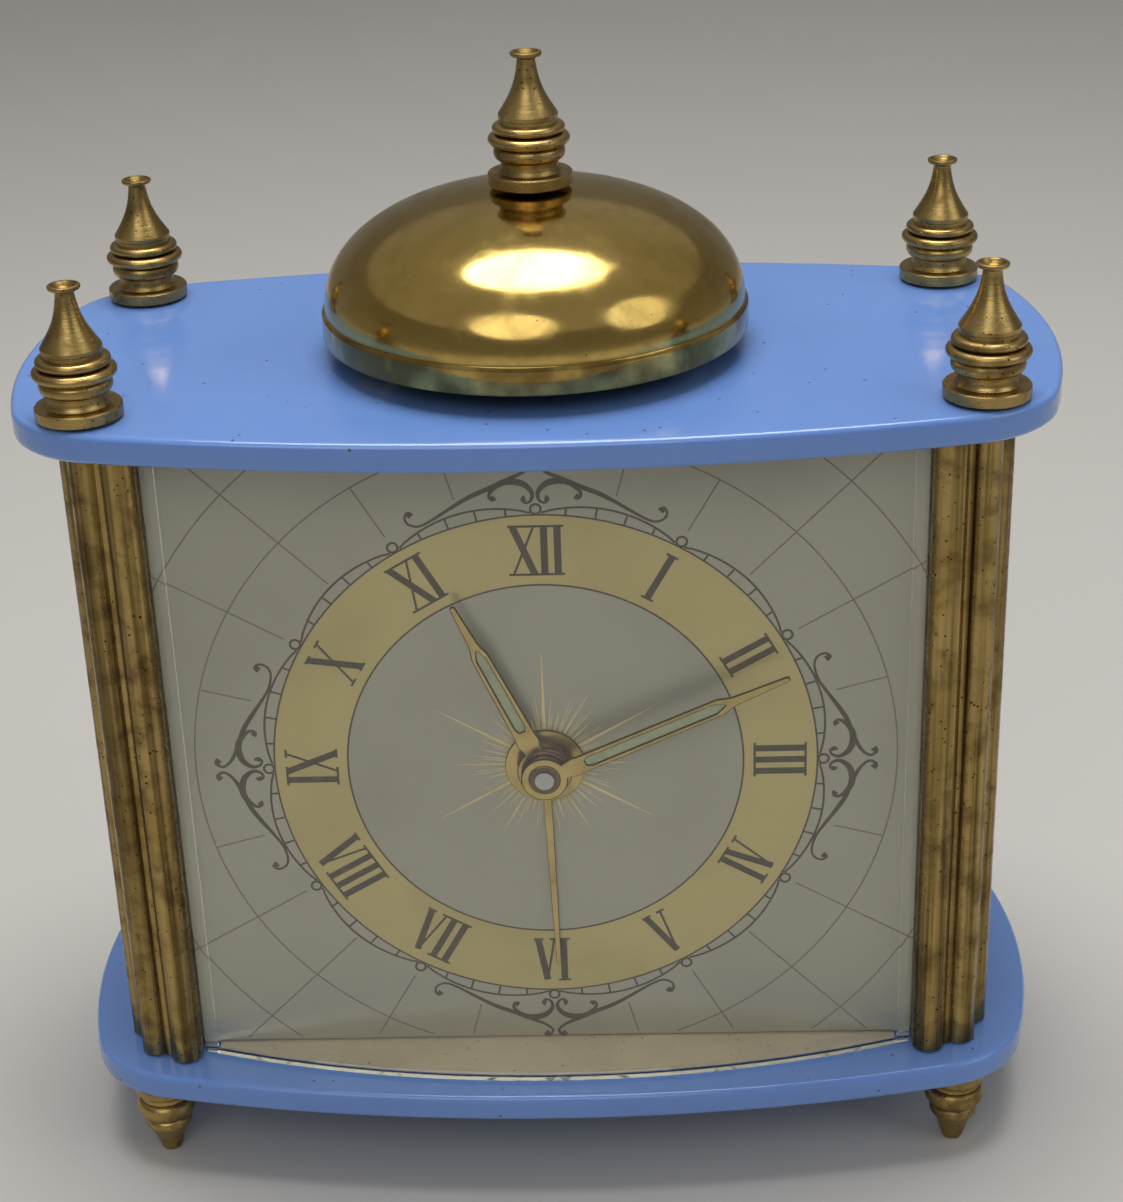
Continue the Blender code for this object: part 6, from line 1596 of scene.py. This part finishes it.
# %% Finish the carried-over nodes
KEPT = {
    "dial": dial_silver, "case": cream_case, "rear_cover": cream_case, "bell_stud": steel,
    "regulator": steel, "hammer": steel, "minute_arbor": steel,
    "time_mainspring": spring_steel, "alarm_mainspring": spring_steel, "hairspring": spring_steel,
    "pallet_lever": steel,
}
for name in ("front_movement_plate", "back_movement_plate", "time_great_wheel", "centre_wheel", "third_wheel",
             "fourth_wheel", "escape_wheel", "balance_wheel", "minute_wheel", "hour_wheel", "alarm_wheel",
             "alarm_great_wheel", "verge_wheel"):
    KEPT[name] = movement_brass
for corner in CORNERS:
    KEPT["tie_rod_" + corner] = steel
for name, surface in KEPT.items():
    nodes[name].data.materials.clear()
    nodes[name].data.materials.append(surface)
print("kept nodes", len(KEPT))

# %% [markdown]
# ## Floor and light
# The photograph was taken on a pale board that fades into a warm grey wall. A floor that curves up all
# round has no horizon line from any side, and large round lamps give the soft highlights that show what
# is brass and what is plastic.

# %% Spin the floor and hang the lamps
FLAT_RADIUS = 1.1
SWEEP_RADIUS = 0.6
SWEEP_STEPS = 16
MIDDLE_RADIUS = 0.4
WALL_TOP = 0.9
sweep_up = []
for i in range(SWEEP_STEPS + 1):
    angle = math.pi / 2 * i / SWEEP_STEPS
    sweep_up.append((FLAT_RADIUS + SWEEP_RADIUS * math.sin(angle), SWEEP_RADIUS * (1 - math.cos(angle))))
walls = [(0.0, 0.0), (MIDDLE_RADIUS, 0.0), *sweep_up, (FLAT_RADIUS + SWEEP_RADIUS, WALL_TOP)]
floor = turned("floor", walls, steps=96)
floor.data.flip_normals()
floor_pale, tree, shader = finish("floor_pale", 0.55)
cloud = effect(tree, patina, Scale=3.0, Amount=0.5)
feed(tree, shader, "Base Color", mixed(tree, cloud, (0.565, 0.555, 0.535), (0.53, 0.52, 0.50)))
floor.data.materials.append(floor_pale)

world = bpy.data.worlds.new("room")
bpy.context.scene.world = world
world.use_nodes = True
background = world.node_tree.nodes["Background"]
background.inputs["Color"].default_value = (0.50, 0.485, 0.465, 1.0)
background.inputs["Strength"].default_value = 0.60


def lamp(name, place, target, size, power, colour, shape):
    """A soft lamp that faces a point."""
    data = bpy.data.lights.new(name, "AREA")
    data.shape = shape
    data.size, data.size_y = size
    data.energy = power
    data.color = colour
    lit = bpy.data.objects.new(name, data)
    bpy.context.scene.collection.objects.link(lit)
    lit.location = place
    lit.rotation_euler = (Vector(target) - Vector(place)).to_track_quat("-Z", "Y").to_euler()
    return lit


lamp("overhead", (0.0, 0.05, 0.62), (0.0, 0.0, 0.08), (0.42, 0.34), 2.8, (1.0, 0.99, 0.96), "ELLIPSE")
lamp("front_soft", (-0.15, -0.75, 0.62), (0.0, 0.0, 0.07), (0.7, 0.55), 1.6, (1.0, 0.985, 0.95), "ELLIPSE")
lamp("side_soft", (0.75, -0.35, 0.55), (0.0, 0.0, 0.05), (0.6, 0.6), 1.1, (0.96, 0.98, 1.0), "DISK")
bpy.context.scene.view_settings.view_transform = "Standard"
print("lamps", len(bpy.data.lights))
